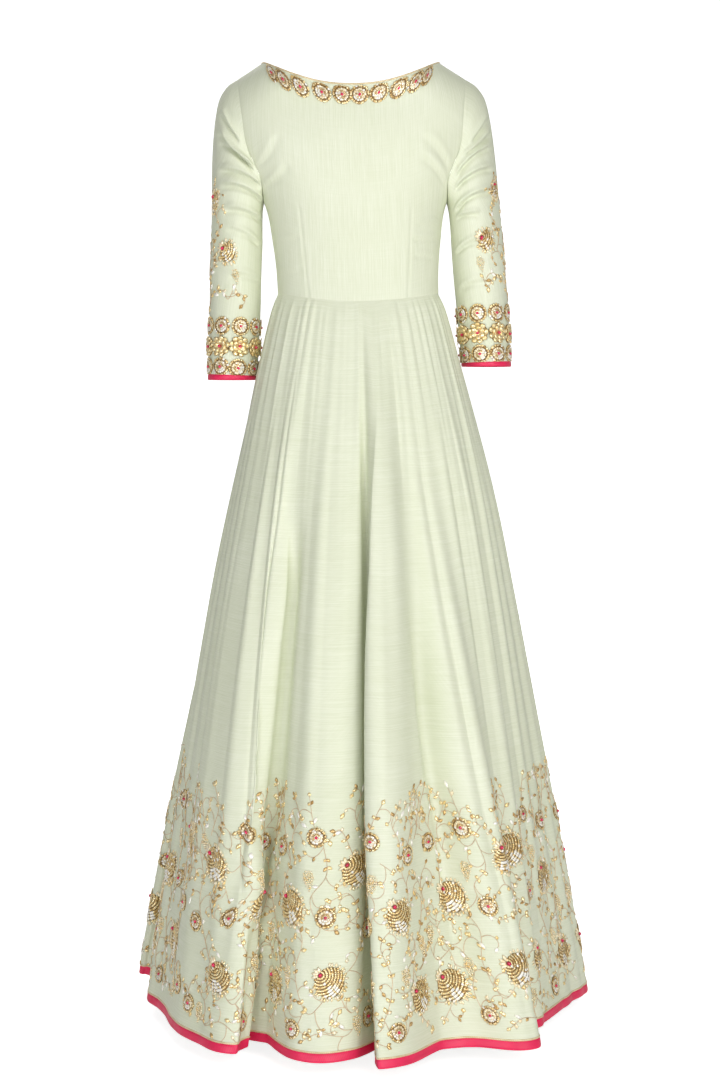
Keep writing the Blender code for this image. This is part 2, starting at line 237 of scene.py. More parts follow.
@dataclass
class Cloth:
    """A grid of points on a worn surface, measured along and across so that work can be laid on it.

    The last row is the edge that beadwork is measured from: a hem, a cuff or a neck edge. A relief is
    given the places across and along, the plain points and their normals, and returns the height.
    """

    surface: Shape
    columns: int
    rows: int
    first: float = 0.0
    last: float = 1.0
    crowding: float = 1.0
    closed: bool = False
    facing: float = 0.0
    relief: Relief | None = None
    points: Array = field(init=False)
    normals: Array = field(init=False)

    def __post_init__(self) -> None:
        """Lay the grid, raise its folds and measure it."""
        across = np.linspace(0.0, 1.0, self.columns + 1)
        along = np.linspace(0.0, 1.0, self.rows + 1) ** self.crowding
        along = self.first + (self.last - self.first) * along
        self.across, self.along = np.meshgrid(across, along)
        self.points = self.surface(self.across, self.along)
        self.outward = 1.0
        self.normals = self.find_normals()
        if self.facing:
            towards = self.normals[..., 1] * self.facing
        else:
            middle = self.points[:, :-1].mean(axis=1, keepdims=True)
            towards = (self.normals * (self.points - middle)).sum(-1)
        if towards.mean() < 0.0:
            self.outward = -1.0
            self.normals = -self.normals
        if self.relief:
            depth = self.relief(self.across, self.along, self.points, self.normals)
            self.points = self.points + self.normals * depth[..., None]
            self.normals = self.find_normals()
        self.measure()

    def slopes(self) -> tuple[Array, Array]:
        """Return the slopes across and along the grid, joined round where it is closed."""
        if self.closed:
            joined = [self.points[:, -2:-1], self.points, self.points[:, 1:2]]
            wrapped = np.concatenate(joined, axis=1)
            across = (wrapped[:, 2:] - wrapped[:, :-2]) / 2.0
        else:
            across = np.gradient(self.points, axis=1)
        return across, np.gradient(self.points, axis=0)

    def find_normals(self) -> Array:
        """Return the unit normals of the grid, pointing out of the gown."""
        across, along = self.slopes()
        return unit(np.cross(across, along)) * self.outward

    def measure(self) -> None:
        """Measure the rows across and the columns from the edge."""
        self.steps = np.linalg.norm(np.diff(self.points, axis=1), axis=-1)
        start = np.zeros((self.rows + 1, 1))
        lengths = np.concatenate([start, np.cumsum(self.steps, axis=1)], axis=1)
        self.widths = lengths[:, -1]
        self.shares = lengths / self.widths[:, None]
        self.rises = np.linalg.norm(np.diff(self.points, axis=0), axis=-1)
        back = np.cumsum(self.rises[::-1], axis=0)[::-1]
        self.heights = np.concatenate([back, np.zeros((1, self.columns + 1))], axis=0)
        self.mean_heights = self.heights.mean(axis=1)
        self.handed = -self.outward

    def width_at(self, height: float) -> float:
        """Return the cloth's width at a distance from its edge."""
        return float(np.interp(height, self.mean_heights[::-1], self.widths[::-1]))

    def area(self) -> float:
        """Return the cloth's area."""
        return float((self.steps[1:] * self.rises[:, 1:]).sum())

    def locate(self, share: Array, height: Array) -> tuple[Array, Array]:
        """Find grid places from cloth measures.

        Args:
            share: Share of the cloth's width.
            height: Distance from the edge.

        Returns:
            The column and the row, with fractions.
        """
        rows = np.arange(self.rows + 1, dtype=float)
        row = np.interp(height, self.mean_heights[::-1], rows[::-1])
        column = np.zeros_like(share)
        counted = np.arange(self.columns + 1, dtype=float)
        low = np.clip(row.astype(int), 0, self.rows - 1)
        for at in np.unique(low):
            held = low == at
            part = row[held] - at
            above = np.interp(share[held], self.shares[at], counted)
            below = np.interp(share[held], self.shares[at + 1], counted)
            column[held] = above * (1.0 - part) + below * part
        found = self.read(self.heights[..., None], column, row)[..., 0]
        step = self.mean_heights[low] - self.mean_heights[low + 1]
        row = np.clip(row + (found - height) / np.maximum(step, TINY), 0.0, self.rows)
        return column, row

    def read(self, values: Array, column: Array, row: Array) -> Array:
        """Read a grid of values between its places.

        Args:
            values: The grid of values.
            column: Column, with its fraction.
            row: Row, with its fraction.

        Returns:
            The value at each place.
        """
        left = np.clip(column.astype(int), 0, self.columns - 1)
        top = np.clip(row.astype(int), 0, self.rows - 1)
        right, down = (column - left)[..., None], (row - top)[..., None]
        upper = values[top, left] * (1.0 - right) + values[top, left + 1] * right
        lower = values[top + 1, left] * (1.0 - right) + values[top + 1, left + 1] * right
        return upper * (1.0 - down) + lower * down

    def lay(self, flat: Array) -> Array:
        """Lay flat work on the cloth.

        Args:
            flat: Points, x across in the edge's own metres, y from the edge, z off the cloth.

        Returns:
            The same points on the worn cloth.
        """
        share = self.handed * flat[:, 0] / self.widths[-1]
        share = np.mod(share, 1.0) if self.closed else np.clip(0.5 + share, 0.0, 1.0)
        column, row = self.locate(share, flat[:, 1])
        points = self.read(self.points, column, row)
        return points + unit(self.read(self.normals, column, row)) * flat[:, 2:3]


# Share of the pattern's level that follows each column's own drop, and not the row's mean
OWN_DROP = 0.15


def vertex_places(data: Mesh) -> Array:
    """Return the places of a mesh's vertices."""
    flat = np.empty(len(data.vertices) * 3, np.float32)
    data.vertices.foreach_get("co", flat)
    return flat.reshape(-1, 3)


def move_vertices(data: Mesh, points: Array) -> None:
    """Move a mesh's vertices to new places."""
    data.vertices.foreach_set("co", points.astype(np.float32).ravel())


def as_mesh(shape: bmesh.types.BMesh, name: str) -> Mesh:
    """Return a shape as a mesh, and let the shape go."""
    data = bpy.data.meshes.new(name)
    shape.to_mesh(data)
    shape.free()
    return data


def linked(name: str, data: bpy.types.ID) -> Piece:
    """Return a new object that is linked to the scene."""
    made = bpy.data.objects.new(name, data)
    bpy.context.scene.collection.objects.link(made)
    return made


def put_in_scene(name: str, data: Mesh, materials: Sequence[Material]) -> Piece:
    """Make an object from a mesh, dress it and let it ride on the gown.

    Args:
        name: The piece's name.
        data: Its mesh, already in place.
        materials: Its finishes, in the order of its faces' slots.

    Returns:
        The piece.
    """
    data.name = name
    for material in materials:
        data.materials.append(material)
    data.shade_smooth()
    piece = linked(name, data)
    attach(piece, BODY)
    return piece


def cloth_mesh(cloth: Cloth, columns: slice | None = None) -> Mesh:
    """Make a mesh from a cloth's grid, with its flat measures as its UV map.

    Args:
        cloth: The laid cloth.
        columns: The stretch of columns that the piece takes, or all of them.

    Returns:
        The mesh, with its faces pointing out of the gown.
    """
    span = columns or slice(0, cloth.columns)
    wide = span.stop - span.start
    grid = bmesh.new()
    bmesh.ops.create_grid(grid, x_segments=wide, y_segments=cloth.rows, size=0.5)
    if cloth.outward < 0.0:
        bmesh.ops.reverse_faces(grid, faces=grid.faces[:])
    data = as_mesh(grid, "cloth")
    flat = vertex_places(data)
    column = np.rint((flat[:, 0] + 0.5) * wide).astype(int) + span.start
    row = np.rint((flat[:, 1] + 0.5) * cloth.rows).astype(int)
    move_vertices(data, cloth.points[row, column])
    corners = np.empty(len(data.loops), np.int32)
    data.loops.foreach_get("vertex_index", corners)
    middle = (cloth.shares - 0.5) * cloth.widths[:, None] * cloth.handed
    level = OWN_DROP * cloth.heights + (1.0 - OWN_DROP) * cloth.mean_heights[:, None]
    measures = np.stack([middle[row, column], level[row, column]], axis=-1)
    data.uv_layers.new(name="Pattern")
    data.uv_layers["Pattern"].data.foreach_set("uv", measures[corners].astype(np.float32).ravel())
    edged = bmesh.new()
    edged.from_mesh(data)
    if cloth.closed and columns is None:
        bmesh.ops.remove_doubles(edged, verts=edged.verts[:], dist=SEAM_MERGE)
    for edge in edged.edges:
        edge.smooth = not edge.is_boundary
    edged.to_mesh(data)
    edged.free()
    data.update()
    return data


def thicken(piece: Piece, thickness: float) -> None:
    """Give a cloth its thickness, inwards from its outer face."""
    modifier = piece.modifiers.new("wall", "SOLIDIFY")
    modifier.thickness = thickness
    modifier.offset = -1.0
    modifier.use_even_offset = False


def stand_in(
    name: str, data: Mesh, material: Material, node: str, wall: float = 0.0
) -> Piece:
    """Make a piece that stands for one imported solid.

    Args:
        name: The piece's name.
        data: Its mesh.
        material: Its finish.
        node: The solid that it replaces.
        wall: The cloth's thickness, or nothing for a solid cord.

    Returns:
        The piece.
    """
    piece = put_in_scene(name, data, [material])
    if wall:
        thicken(piece, wall)
    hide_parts(node)
    return piece


# A crease's width where it starts and its growth along it, both as shares of its own width
CREASE_START, CREASE_GROWTH = 0.7, 0.6
# How far under the ridge its trough lies, in widths, and the shares of its length that fade
TROUGH_DROP, FADE_IN, FADE_HELD, FADE_OUT = 1.7, 0.18, 0.3, 0.25
# How fast a crease fades where the cloth turns away from the side that it is seen from
TURN_AWAY = 1.6


@dataclass(frozen=True)
class Crease:
    """A ridge of pulled cloth with a trough under it, seen from the front or back of the gown.

    Places are from the centre line and from the shoulders. The bow is a share of the length.
    """

    start: tuple[float, float]
    end: tuple[float, float]
    height: float
    width: float
    bow: float = 0.0
    trough: float = 1.3

    def relief(self, points: Array, normals: Array, facing: float) -> Array:
        """Return how far the crease lifts each point off the cloth.

        Args:
            points: Points with no lean.
            normals: The cloth's normals there.
            facing: 1 where it is seen from the back, and -1 from the front.

        Returns:
            The lift at each point.
        """
        way = np.subtract(self.end, self.start)
        length = float(np.hypot(*way))
        way = way / length
        offset = points[..., (0, 2)] - np.array(self.start)
        along = (offset @ way) / length
        bowed = self.bow * length * 4.0 * along * (1.0 - along)
        beside = offset @ np.array([-way[1], way[0]]) - bowed
        if way[0] < 0.0:
            beside = -beside
        spread = self.width * (CREASE_START + CREASE_GROWTH * np.clip(along, 0.0, 1.0))
        ridge = bell(beside / spread)
        under = bell((beside + TROUGH_DROP * spread) / spread)
        window = ease(along / FADE_IN + FADE_HELD) * ease((1.0 - along) / FADE_OUT)
        seen = ease(normals[..., 1] * facing * TURN_AWAY)
        return self.height * (ridge - self.trough * under) * window * seen


def edge_dip(distance: Array, depth: float, width: float) -> Array:
    """Return the dip of a cloth into its seam, by distance from it."""
    return -depth * bell(distance / width)


def ripple(across: Array, along: Array, seed: int, count: int, height: float) -> Array:
    """Return slow unevenness over a cloth.

    Args:
        across: Place across, from 0 to 1.
        along: Place along, from 0 to 1.
        seed: Which unevenness.
        count: How many waves to add.
        height: Its rough height.

    Returns:
        The height at each place.
    """
    draw = np.random.default_rng(seed)
    total = np.zeros(np.broadcast(across, along).shape)
    for _ in range(count):
        turns, rows = draw.integers(1, 7), draw.uniform(0.5, 4.0)
        phase, tilt = draw.uniform(0.0, 2 * pi, 2)
        total += np.sin(2 * pi * turns * across + phase) * np.sin(pi * rows * along + tilt)
    return total * height / np.sqrt(count)


# ---------------------------------------------------------------- finishes


class Tree:
    """Short ways to add and join nodes."""

    def __init__(self, tree: bpy.types.NodeTree) -> None:
        """Work on a material's or a group's tree."""
        self.tree = tree

    def add(self, kind: str, inputs: dict | None = None, **settings: object) -> bpy.types.Node:
        """Add a node.

        Args:
            kind: Its type.
            inputs: Values or sockets for its inputs, by name or number.
            settings: Its own settings.

        Returns:
            The node.
        """
        node = self.tree.nodes.new(kind)
        for name, value in settings.items():
            setattr(node, name, value)
        for name, value in (inputs or {}).items():
            if isinstance(value, Socket):
                self.tree.links.new(value, node.inputs[name])
            else:
                node.inputs[name].default_value = value
        return node

    def join(self, value: Socket, socket: Socket) -> None:
        """Join an output to an input."""
        self.tree.links.new(value, socket)

    def noise(self, vector: Socket, stretch: Point, detail: float) -> Socket:
        """Return noise stretched along the cloth's own ways.

        Args:
            vector: The pattern's place.
            stretch: How many times it repeats in a metre, each way.
            detail: How many finer layers it has.

        Returns:
            The noise, from 0 to 1.
        """
        place = self.add("ShaderNodeMapping", {"Vector": vector, "Scale": stretch}).outputs[0]
        inputs = {"Vector": place, "Scale": 1.0, "Detail": detail, "Roughness": 0.55}
        return self.add("ShaderNodeTexNoise", inputs).outputs["Fac"]

    def spread(
        self, value: Socket, low: float, high: float, to_low: float = 0.0, to_high: float = 1.0
    ) -> Socket:
        """Return a value moved from one span to another, held at its ends."""
        inputs = {"Value": value, "From Min": low, "From Max": high, "To Min": to_low, "To Max": to_high}
        return self.add("ShaderNodeMapRange", inputs).outputs[0]

    def math(self, kind: str, first: object, second: object) -> Socket:
        """Return a sum, product or other step of two values."""
        return self.add("ShaderNodeMath", {0: first, 1: second}, operation=kind).outputs[0]

    def mix(self, share: object, first: object, second: object) -> Socket:
        """Return two colours mixed."""
        return self.add("ShaderNodeMix", {0: share, 6: first, 7: second}, data_type="RGBA").outputs[2]

    def put_out(self, out: bpy.types.Node, colour: Socket, roughness: Socket, height: Socket) -> None:
        """Join a colour, roughness and height to a group's outputs."""
        for (label, _), value in zip(SURFACE_OUTPUTS, (colour, roughness, height)):
            self.join(value, out.inputs[label])


COLOUR, FLOAT, VECTOR = "NodeSocketColor", "NodeSocketFloat", "NodeSocketVector"
SURFACE_OUTPUTS = (("Color", COLOUR), ("Roughness", FLOAT), ("Height", FLOAT))


def new_group(
    name: str, inputs: Sequence[tuple[str, str]]
) -> tuple[bpy.types.NodeTree, Tree, bpy.types.Node, bpy.types.Node]:
    """Start a shader group that puts out a surface's colour, roughness and height.

    Args:
        name: Its name.
        inputs: The names and socket types of its inputs.

    Returns:
        The group, its tree, and its input and output nodes.
    """
    group = bpy.data.node_groups.new(name, "ShaderNodeTree")
    for label, kind in inputs:
        group.interface.new_socket(label, in_out="INPUT", socket_type=kind)
    for label, kind in SURFACE_OUTPUTS:
        group.interface.new_socket(label, in_out="OUTPUT", socket_type=kind)
    tree = Tree(group)
    return group, tree, tree.add("NodeGroupInput"), tree.add("NodeGroupOutput")


@cache
def slub_group() -> bpy.types.NodeTree:
    """Make the group for raw silk: long uneven slubs over a fine plain weave.

    Returns:
        The group.
    """
    inputs = (("Vector", VECTOR), ("Ground", COLOUR), ("Slub", COLOUR))
    group, tree, given, out = new_group("slub_weave", inputs)
    place = given.outputs["Vector"]
    long = tree.spread(tree.noise(place, (13.0, 760.0, 1.0), 2.0), 0.38, 0.68)
    short = tree.spread(tree.noise(place, (55.0, 1500.0, 1.0), 1.0), 0.35, 0.70)
    upright = tree.spread(tree.noise(place, (900.0, 16.0, 1.0), 1.0), 0.35, 0.70)
    patch = tree.noise(place, (7.0, 5.0, 1.0), 3.0)
    slub = tree.math("ADD", tree.math("MULTIPLY", long, 0.55), tree.math("MULTIPLY", short, 0.28))
    slub = tree.math("ADD", slub, tree.math("MULTIPLY", upright, 0.17))
    slub = tree.math("ADD", slub, tree.spread(patch, 0.35, 0.65, -0.12, 0.12))
    colour = tree.mix(slub, given.outputs["Ground"], given.outputs["Slub"])
    tree.put_out(out, colour, tree.spread(slub, 0.0, 1.0, 0.60, 0.42), slub)
    return group


@cache
def sparkle_group() -> bpy.types.NodeTree:
    """Make the group for beads and sequins, each a little darker, lighter or duller than the next.

    Returns:
        The group.
    """
    group, tree, given, out = new_group("bead_sparkle", (("Dark", COLOUR), ("Bright", COLOUR)))
    place = tree.add("ShaderNodeTexCoord").outputs["Object"]
    patch = tree.noise(place, (330.0, 330.0, 330.0), 1.0)
    share = tree.spread(patch, 0.36, 0.64)
    colour = tree.mix(share, given.outputs["Dark"], given.outputs["Bright"])
    fine = tree.noise(place, (1500.0, 1500.0, 1500.0), 0.0)
    tree.put_out(out, colour, tree.spread(patch, 0.35, 0.65, 0.42, 0.16), fine)
    return group


@cache
def cord_group() -> bpy.types.NodeTree:
    """Make the group for twisted cord and satin tape: fine slanting ribs.

    Returns:
        The group.
    """
    inputs = (("Vector", VECTOR), ("Dark", COLOUR), ("Bright", COLOUR))
    group, tree, given, out = new_group("twisted_ribs", inputs)
    place = given.outputs["Vector"]
    ribs = tree.add(
        "ShaderNodeTexWave",
        {"Vector": place, "Scale": 260.0, "Distortion": 1.2, "Detail": 1.0},
        wave_type="BANDS",
        bands_direction="DIAGONAL",
    ).outputs["Fac"]
    patch = tree.spread(tree.noise(place, (30.0, 60.0, 30.0), 2.0), 0.35, 0.65)
    share = tree.math("ADD", tree.math("MULTIPLY", ribs, 0.5), tree.math("MULTIPLY", patch, 0.5))
    colour = tree.mix(share, given.outputs["Dark"], given.outputs["Bright"])
    tree.put_out(out, colour, tree.spread(share, 0.0, 1.0, 0.55, 0.36), ribs)
    return group


def dressed(
    name: str,
    group: Callable[[], bpy.types.NodeTree],
    colours: dict[str, Colour],
    vector: float | None,
    bump: Place,
    **shading: float,
) -> Material:
    """Make a material from a shared group.

    Args:
        name: The material's name.
        group: The maker of its group.
        colours: The group's colours.
        vector: How far the pattern map is turned, or None where the group has its own place.
        bump: Strength and distance of the bump.
        shading: Uniform values, by the shader's socket names with _ for spaces.

    Returns:
        The material.
    """
    material = bpy.data.materials.new(name)
    material.use_nodes = True
    tree = Tree(material.node_tree)
    shader = material.node_tree.nodes["Principled BSDF"]
    for label, value in shading.items():
        shader.inputs[label.replace("_", " ")].default_value = value
    inputs = {label: (*colour, 1.0) for label, colour in colours.items()}
    node = tree.add("ShaderNodeGroup", inputs, node_tree=group())
    if vector is not None:
        pattern = tree.add("ShaderNodeUVMap", uv_map="Pattern")
        placed = {"Vector": pattern.outputs[0], "Rotation": (0.0, 0.0, vector)}
        turned = tree.add("ShaderNodeMapping", placed)
        tree.join(turned.outputs[0], node.inputs["Vector"])
    height = tree.add(
        "ShaderNodeBump", {"Height": node.outputs["Height"], "Strength": bump[0], "Distance": bump[1]}
    )
    tree.join(node.outputs["Color"], shader.inputs["Base Color"])
    tree.join(node.outputs["Roughness"], shader.inputs["Roughness"])
    tree.join(height.outputs[0], shader.inputs["Normal"])
    return material


@dataclass(frozen=True)
class Silk:
    """Pale mint raw silk."""

    name: str
    grain: Grain
    ground: Colour = (0.668, 0.705, 0.522)
    slub: Colour = (0.775, 0.805, 0.655)
    sheen: float = 0.06

    def material(self) -> Material:
        """Make the silk's material."""
        return dressed(
            self.name, slub_group, {"Ground": self.ground, "Slub": self.slub}, self.grain.value,
            (0.35, 0.0004), Sheen_Weight=self.sheen, Sheen_Roughness=0.35,
        )


@dataclass(frozen=True)
class Ribbed:
    """A satin tape or a twisted cord."""

    name: str
    dark: Colour
    bright: Colour
    sheen: float = 0.2
    metallic: float = 0.0

    def material(self) -> Material:
        """Make the ribbed material."""
        return dressed(
            self.name, cord_group, {"Dark": self.dark, "Bright": self.bright}, 0.0,
            (0.3, 0.0002), Sheen_Weight=self.sheen, Metallic=self.metallic,
        )


@dataclass(frozen=True)
class Glitter:
    """Beads, sequins or thread."""

    name: str
    dark: Colour
    bright: Colour
    metallic: float = 1.0
    coat: float = 0.0

    def material(self) -> Material:
        """Make the bead material."""
        return dressed(
            self.name, sparkle_group, {"Dark": self.dark, "Bright": self.bright}, None,
            (0.1, 0.0002), Metallic=self.metallic, Coat_Weight=self.coat,
        )


SKIRT_SILK = Silk("mint_silk_skirt", Grain.ROUND)
BODICE_SILK = Silk("mint_silk_bodice", Grain.UPRIGHT)
PINK_TAPE = Ribbed("pink_satin_tape", (0.70, 0.010, 0.075), (0.86, 0.020, 0.110), 0.04)
CREAM_CORD = Ribbed("cream_gold_cord", (0.62, 0.48, 0.26), (0.86, 0.76, 0.52), 0.1, 0.25)


class Bead(IntEnum):
    """The beadwork's finishes, in the order of its material slots."""

    ANTIQUE = 0
    GOLD = 1
    PALE = 2
    SILVER = 3
    CRIMSON = 4
    THREAD = 5
    PADDING = 6


BEAD_FINISHES = {
    Bead.ANTIQUE: Glitter("antique_gold_sequin", (0.42, 0.25, 0.08), (0.84, 0.60, 0.28), 0.55),
    # Gold is only partly metallic on a light base colour: part of its brightness is painted reflection
    # of a bright room.
    Bead.GOLD: Glitter("bright_gold_sequin", (0.86, 0.62, 0.26), (1.00, 0.88, 0.56), 0.60),
    Bead.PALE: Glitter("pale_gold_bead", (0.86, 0.70, 0.42), (1.00, 0.93, 0.72), 0.30),
    # The silver finish is near white and barely metallic: it is real silver sequins and also painted
    # highlight that stands for glints.
    Bead.SILVER: Glitter("silver_and_painted_highlight_sequin", (0.95, 0.91, 0.80), (1.00, 0.99, 0.94), 0.15),
    Bead.CRIMSON: Glitter("crimson_bead", (0.52, 0.008, 0.055), (0.80, 0.025, 0.120), 0.0, 0.6),
    Bead.THREAD: Glitter("rose_gold_thread", (0.60, 0.42, 0.26), (0.84, 0.66, 0.45), 0.2),
    # The padding is dark brown so that the gaps between sequins read dark: partly the stitching's
    # colour, partly painted shade between the sequins.
    Bead.PADDING: Glitter("brown_padding_and_painted_gap_shade", (0.22, 0.12, 0.03), (0.40, 0.24, 0.08), 0.1),
}


# ---------------------------------------------------------------- beadwork


# Sequins and pads are low cones: their sides, and their top and height as shares of their radius
SEQUIN_SIDES, SEQUIN_TOP, SEQUIN_HEIGHT = 7, 0.62, 0.24
PAD_SIDES, PAD_TOP, PAD_RING, PAD_RINGS = 20, 0.88, 0.2, 3
LEAF_SIDES, LEAF_FOOT, LEAF_TOP, LEAF_HEIGHT, LEAF_POINT = 8, 0.5, 0.34, 0.0011, 0.75
# How far leaves and threads lie off the cloth, and how far a pad is sunk in it
LEAF_LIFT, THREAD_LIFT, PAD_SUNK = 0.0007, 0.0006, 0.0004


class Motif:
    """Small flat beadwork, built once round its own middle and stamped many times."""

    def __init__(self) -> None:
        """Start an empty motif."""
        self.mesh = bmesh.new()

    def place(self, made: dict, matrix: Matrix, bead: Bead) -> None:
        """Put new vertices in place and give their faces a finish."""
        verts = made["verts"]
        bmesh.ops.transform(self.mesh, matrix=matrix, verts=verts)
        for face in {face for vert in verts for face in vert.link_faces}:
            face.material_index = int(bead)

    def cone(self, sides: int, foot: float, top: float, height: float) -> dict:
        """Add a low cone with both ends closed."""
        return bmesh.ops.create_cone(
            self.mesh, cap_ends=True, segments=sides, radius1=foot, radius2=top, depth=height
        )

    def sequin(
        self, x: float, y: float, radius: float, bead: Bead, lean: float, way: float, lift: float
    ) -> None:
        """Add a cupped sequin that leans up towards a way.

        Args:
            x: Its place across.
            y: Its place along.
            radius: Its radius.
            bead: Its finish.
            lean: How far it leans.
            way: The direction that it leans in.
            lift: How far it lies off the cloth.
        """
        made = self.cone(SEQUIN_SIDES, radius, radius * SEQUIN_TOP, radius * SEQUIN_HEIGHT)
        turn = Matrix.Rotation(way, 4, "Z") @ Matrix.Rotation(lean, 4, "Y")
        self.place(made, Matrix.Translation((x, y, lift)) @ turn, bead)

    def bead(self, x: float, y: float, radius: float, bead: Bead, lift: float) -> None:
        """Add a small round bead."""
        made = bmesh.ops.create_icosphere(self.mesh, subdivisions=1, radius=radius)
        self.place(made, Matrix.Translation((x, y, lift)), bead)

    def leaf(self, start: Place, size: Place, way: float, bead: Bead, lift: float = LEAF_LIFT) -> None:
        """Add a pointed leaf or petal.

        Args:
            start: Where it starts.
            size: Its length and width.
            way: The direction that it points in.
            bead: Its finish.
            lift: How far it lies off the cloth.
        """
        (x, y), (length, width) = start, size
        made = self.cone(LEAF_SIDES, LEAF_FOOT, LEAF_TOP, LEAF_HEIGHT)
        for vert in made["verts"]:
            vert.co.y *= 1.0 - LEAF_POINT * (2.0 * abs(vert.co.x)) ** 2
        scale = Matrix.Diagonal((length, width, 1.0, 1.0))
        turn = Matrix.Translation((x, y, lift)) @ Matrix.Rotation(way, 4, "Z")
        self.place(made, turn @ Matrix.Translation((length / 2, 0.0, 0.0)) @ scale, bead)

    def pad(self, radius: float, height: float, bead: Bead) -> None:
        """Add a low round pad of stitching for sequins to lie on.

        Args:
            radius: Its radius.
            height: Its height.
            bead: Its finish.
        """
        made = self.cone(PAD_SIDES, radius, radius * PAD_TOP, height)
        self.place(made, Matrix.Translation((0.0, 0.0, height / 2 - PAD_SUNK)), bead)
        caps = [face for face in self.mesh.faces if len(face.verts) == PAD_SIDES]
        for _ in range(PAD_RINGS):
            bmesh.ops.inset_region(
                self.mesh, faces=caps, thickness=radius * PAD_RING, use_even_offset=False
            )
        bmesh.ops.poke(self.mesh, faces=caps)

    def finished(self, name: str) -> Mesh:
        """Return the motif as a mesh."""
        return as_mesh(self.mesh, name)


@dataclass(frozen=True)
class Bloom:
    """A shell of sequins in arcs round a bead at its upper corner, with a fringe of petals and a painted
    highlight of whitish sequins low in its middle.
    """

    radius: float = 0.0225
    heart: Place = (-0.0118, 0.0122)
    gap: float = 0.002
    inner_petal: Place = (0.0110, 0.0060)
    first_row: float = 0.0050
    row_step: float = 0.0041
    sequin: float = 0.0019
    petals: int = 21
    seed: int = 3

    def mesh(self) -> Mesh:
        """Build the bloom.

        Returns:
            The mesh.
        """
        draw = np.random.default_rng(self.seed)
        motif = Motif()
        # The dark pad shows between the arcs of sequins, as brown stitching and as painted shade in the
        # gaps.
        motif.pad(self.radius * 0.97, 0.0016, Bead.PADDING)
        row, reach = 0, self.first_row
        while reach < self.radius * 2.0:
            count = int(2 * pi * reach / (self.sequin * 1.4))
            for step in range(count):
                way = 2 * pi * (step + 0.5 * (row % 2)) / count
                x, y = self.heart[0] + reach * cos(way), self.heart[1] + reach * sin(way)
                if hypot(x, y) > self.radius * 0.94:
                    continue
                # Painted highlight: whitish sequins crowd the lower middle of the shell to stand for
                # glints, and are few elsewhere.
                low = y < -0.25 * self.radius and abs(x) < 0.5 * self.radius
                painted_glint = draw.random() < (0.62 if low else 0.04)
                dark = draw.random() < (0.35 if row % 2 == 1 else 0.06)
                bead = Bead.SILVER if painted_glint else Bead.ANTIQUE if dark else Bead.GOLD
                lean = radians(draw.uniform(2.0, 15.0))
                size = self.sequin * (1.25 if painted_glint else draw.uniform(0.92, 1.06))
                motif.sequin(x, y, size, bead, lean, way, 0.0020)
            row, reach = row + 1, reach + self.row_step
        for angle in (95.0, 128.0, 158.0, 190.0):
            way = radians(angle + draw.uniform(-6.0, 6.0))
            start = (self.heart[0] + self.gap * cos(way), self.heart[1] + self.gap * sin(way))
            motif.leaf(start, self.inner_petal, way, Bead.PALE, 0.0018)
        motif.bead(self.heart[0], self.heart[1], 0.0029, Bead.CRIMSON, 0.0026)
        for step in range(self.petals):
            way = radians(-165.0 + 250.0 * step / (self.petals - 1) + draw.uniform(-3.0, 3.0))
            start = self.radius * 0.92
            bead = Bead.PALE if draw.random() < 0.75 else Bead.GOLD
            size = (draw.uniform(0.0056, 0.0080), 0.0044)
            turned = way + radians(draw.uniform(-18.0, 18.0))
            motif.leaf((start * cos(way), start * sin(way)), size, turned, bead, 0.0009)
        return motif.finished("bloom")


# Each ring of a medallion: its share of the radius, its sequins' radius and their finish
MEDALLION_RINGS = ((0.88, 0.0019, Bead.GOLD), (0.56, 0.0019, Bead.PALE), (0.32, 0.0014, Bead.ANTIQUE))
# A bright medallion's rings of big sequins: their share of the radius and how many there are
BRIGHT_RINGS, BRIGHT_SEQUIN = ((0.74, 9), (0.40, 6)), 0.0044


@dataclass(frozen=True)
class Medallion:
    """A small round of sequin rings with a bead in the middle and, low down, a crescent of whitish
    sequins that is a painted highlight.
    """

    radius: float = 0.0136
    bright: bool = False
    seed: int = 5

    def mesh(self) -> Mesh:
        """Build the medallion.

        Returns:
            The mesh.
        """
        draw = np.random.default_rng(self.seed)
        motif = Motif()
        # The dark outer pad shows between the sequins, as brown stitching and as painted shade in the
        # gaps.
        motif.pad(self.radius * 0.97, 0.0012, Bead.PADDING)
        motif.pad(self.radius * 0.66, 0.0018, Bead.PALE)
        if self.bright:
            motif.pad(self.radius * 0.9, 0.0019, Bead.ANTIQUE)
            for share, count in BRIGHT_RINGS:
                for step in range(count):
                    way = 2 * pi * (step + 0.3 * draw.random()) / count
                    kind = Bead.SILVER if draw.random() < 0.16 else Bead.GOLD
                    x, y = self.radius * share * cos(way), self.radius * share * sin(way)
                    lean = -radians(draw.uniform(8.0, 26.0))
                    motif.sequin(x, y, BRIGHT_SEQUIN, kind, lean, way, 0.0026)
            motif.bead(0.0, 0.0, 0.0024, Bead.CRIMSON, 0.0032)
            return motif.finished("medallion")
        for share, size, bead in MEDALLION_RINGS:
            reach = self.radius * share
            count = int(2 * pi * reach / (size * 1.75))
            for step in range(count):
                way = 2 * pi * (step + 0.5 * draw.random()) / count
                # Painted highlight: in the inner rings the lower side is mostly whitish sequins,
                # standing for glints.
                low = share < 0.85 and -2.8 < atan2(sin(way), cos(way)) < -0.5
                kind = Bead.SILVER if draw.random() < (0.85 if low else 0.10) else bead
                if share > 0.85 and draw.random() < 0.30:
                    kind = Bead.ANTIQUE
                lean = radians(draw.uniform(2.0, 14.0))
                motif.sequin(reach * cos(way), reach * sin(way), size, kind, lean, way, 0.0021)
        motif.bead(0.0, 0.0, 0.0024, Bead.CRIMSON, 0.0021)
        return motif.finished("medallion")


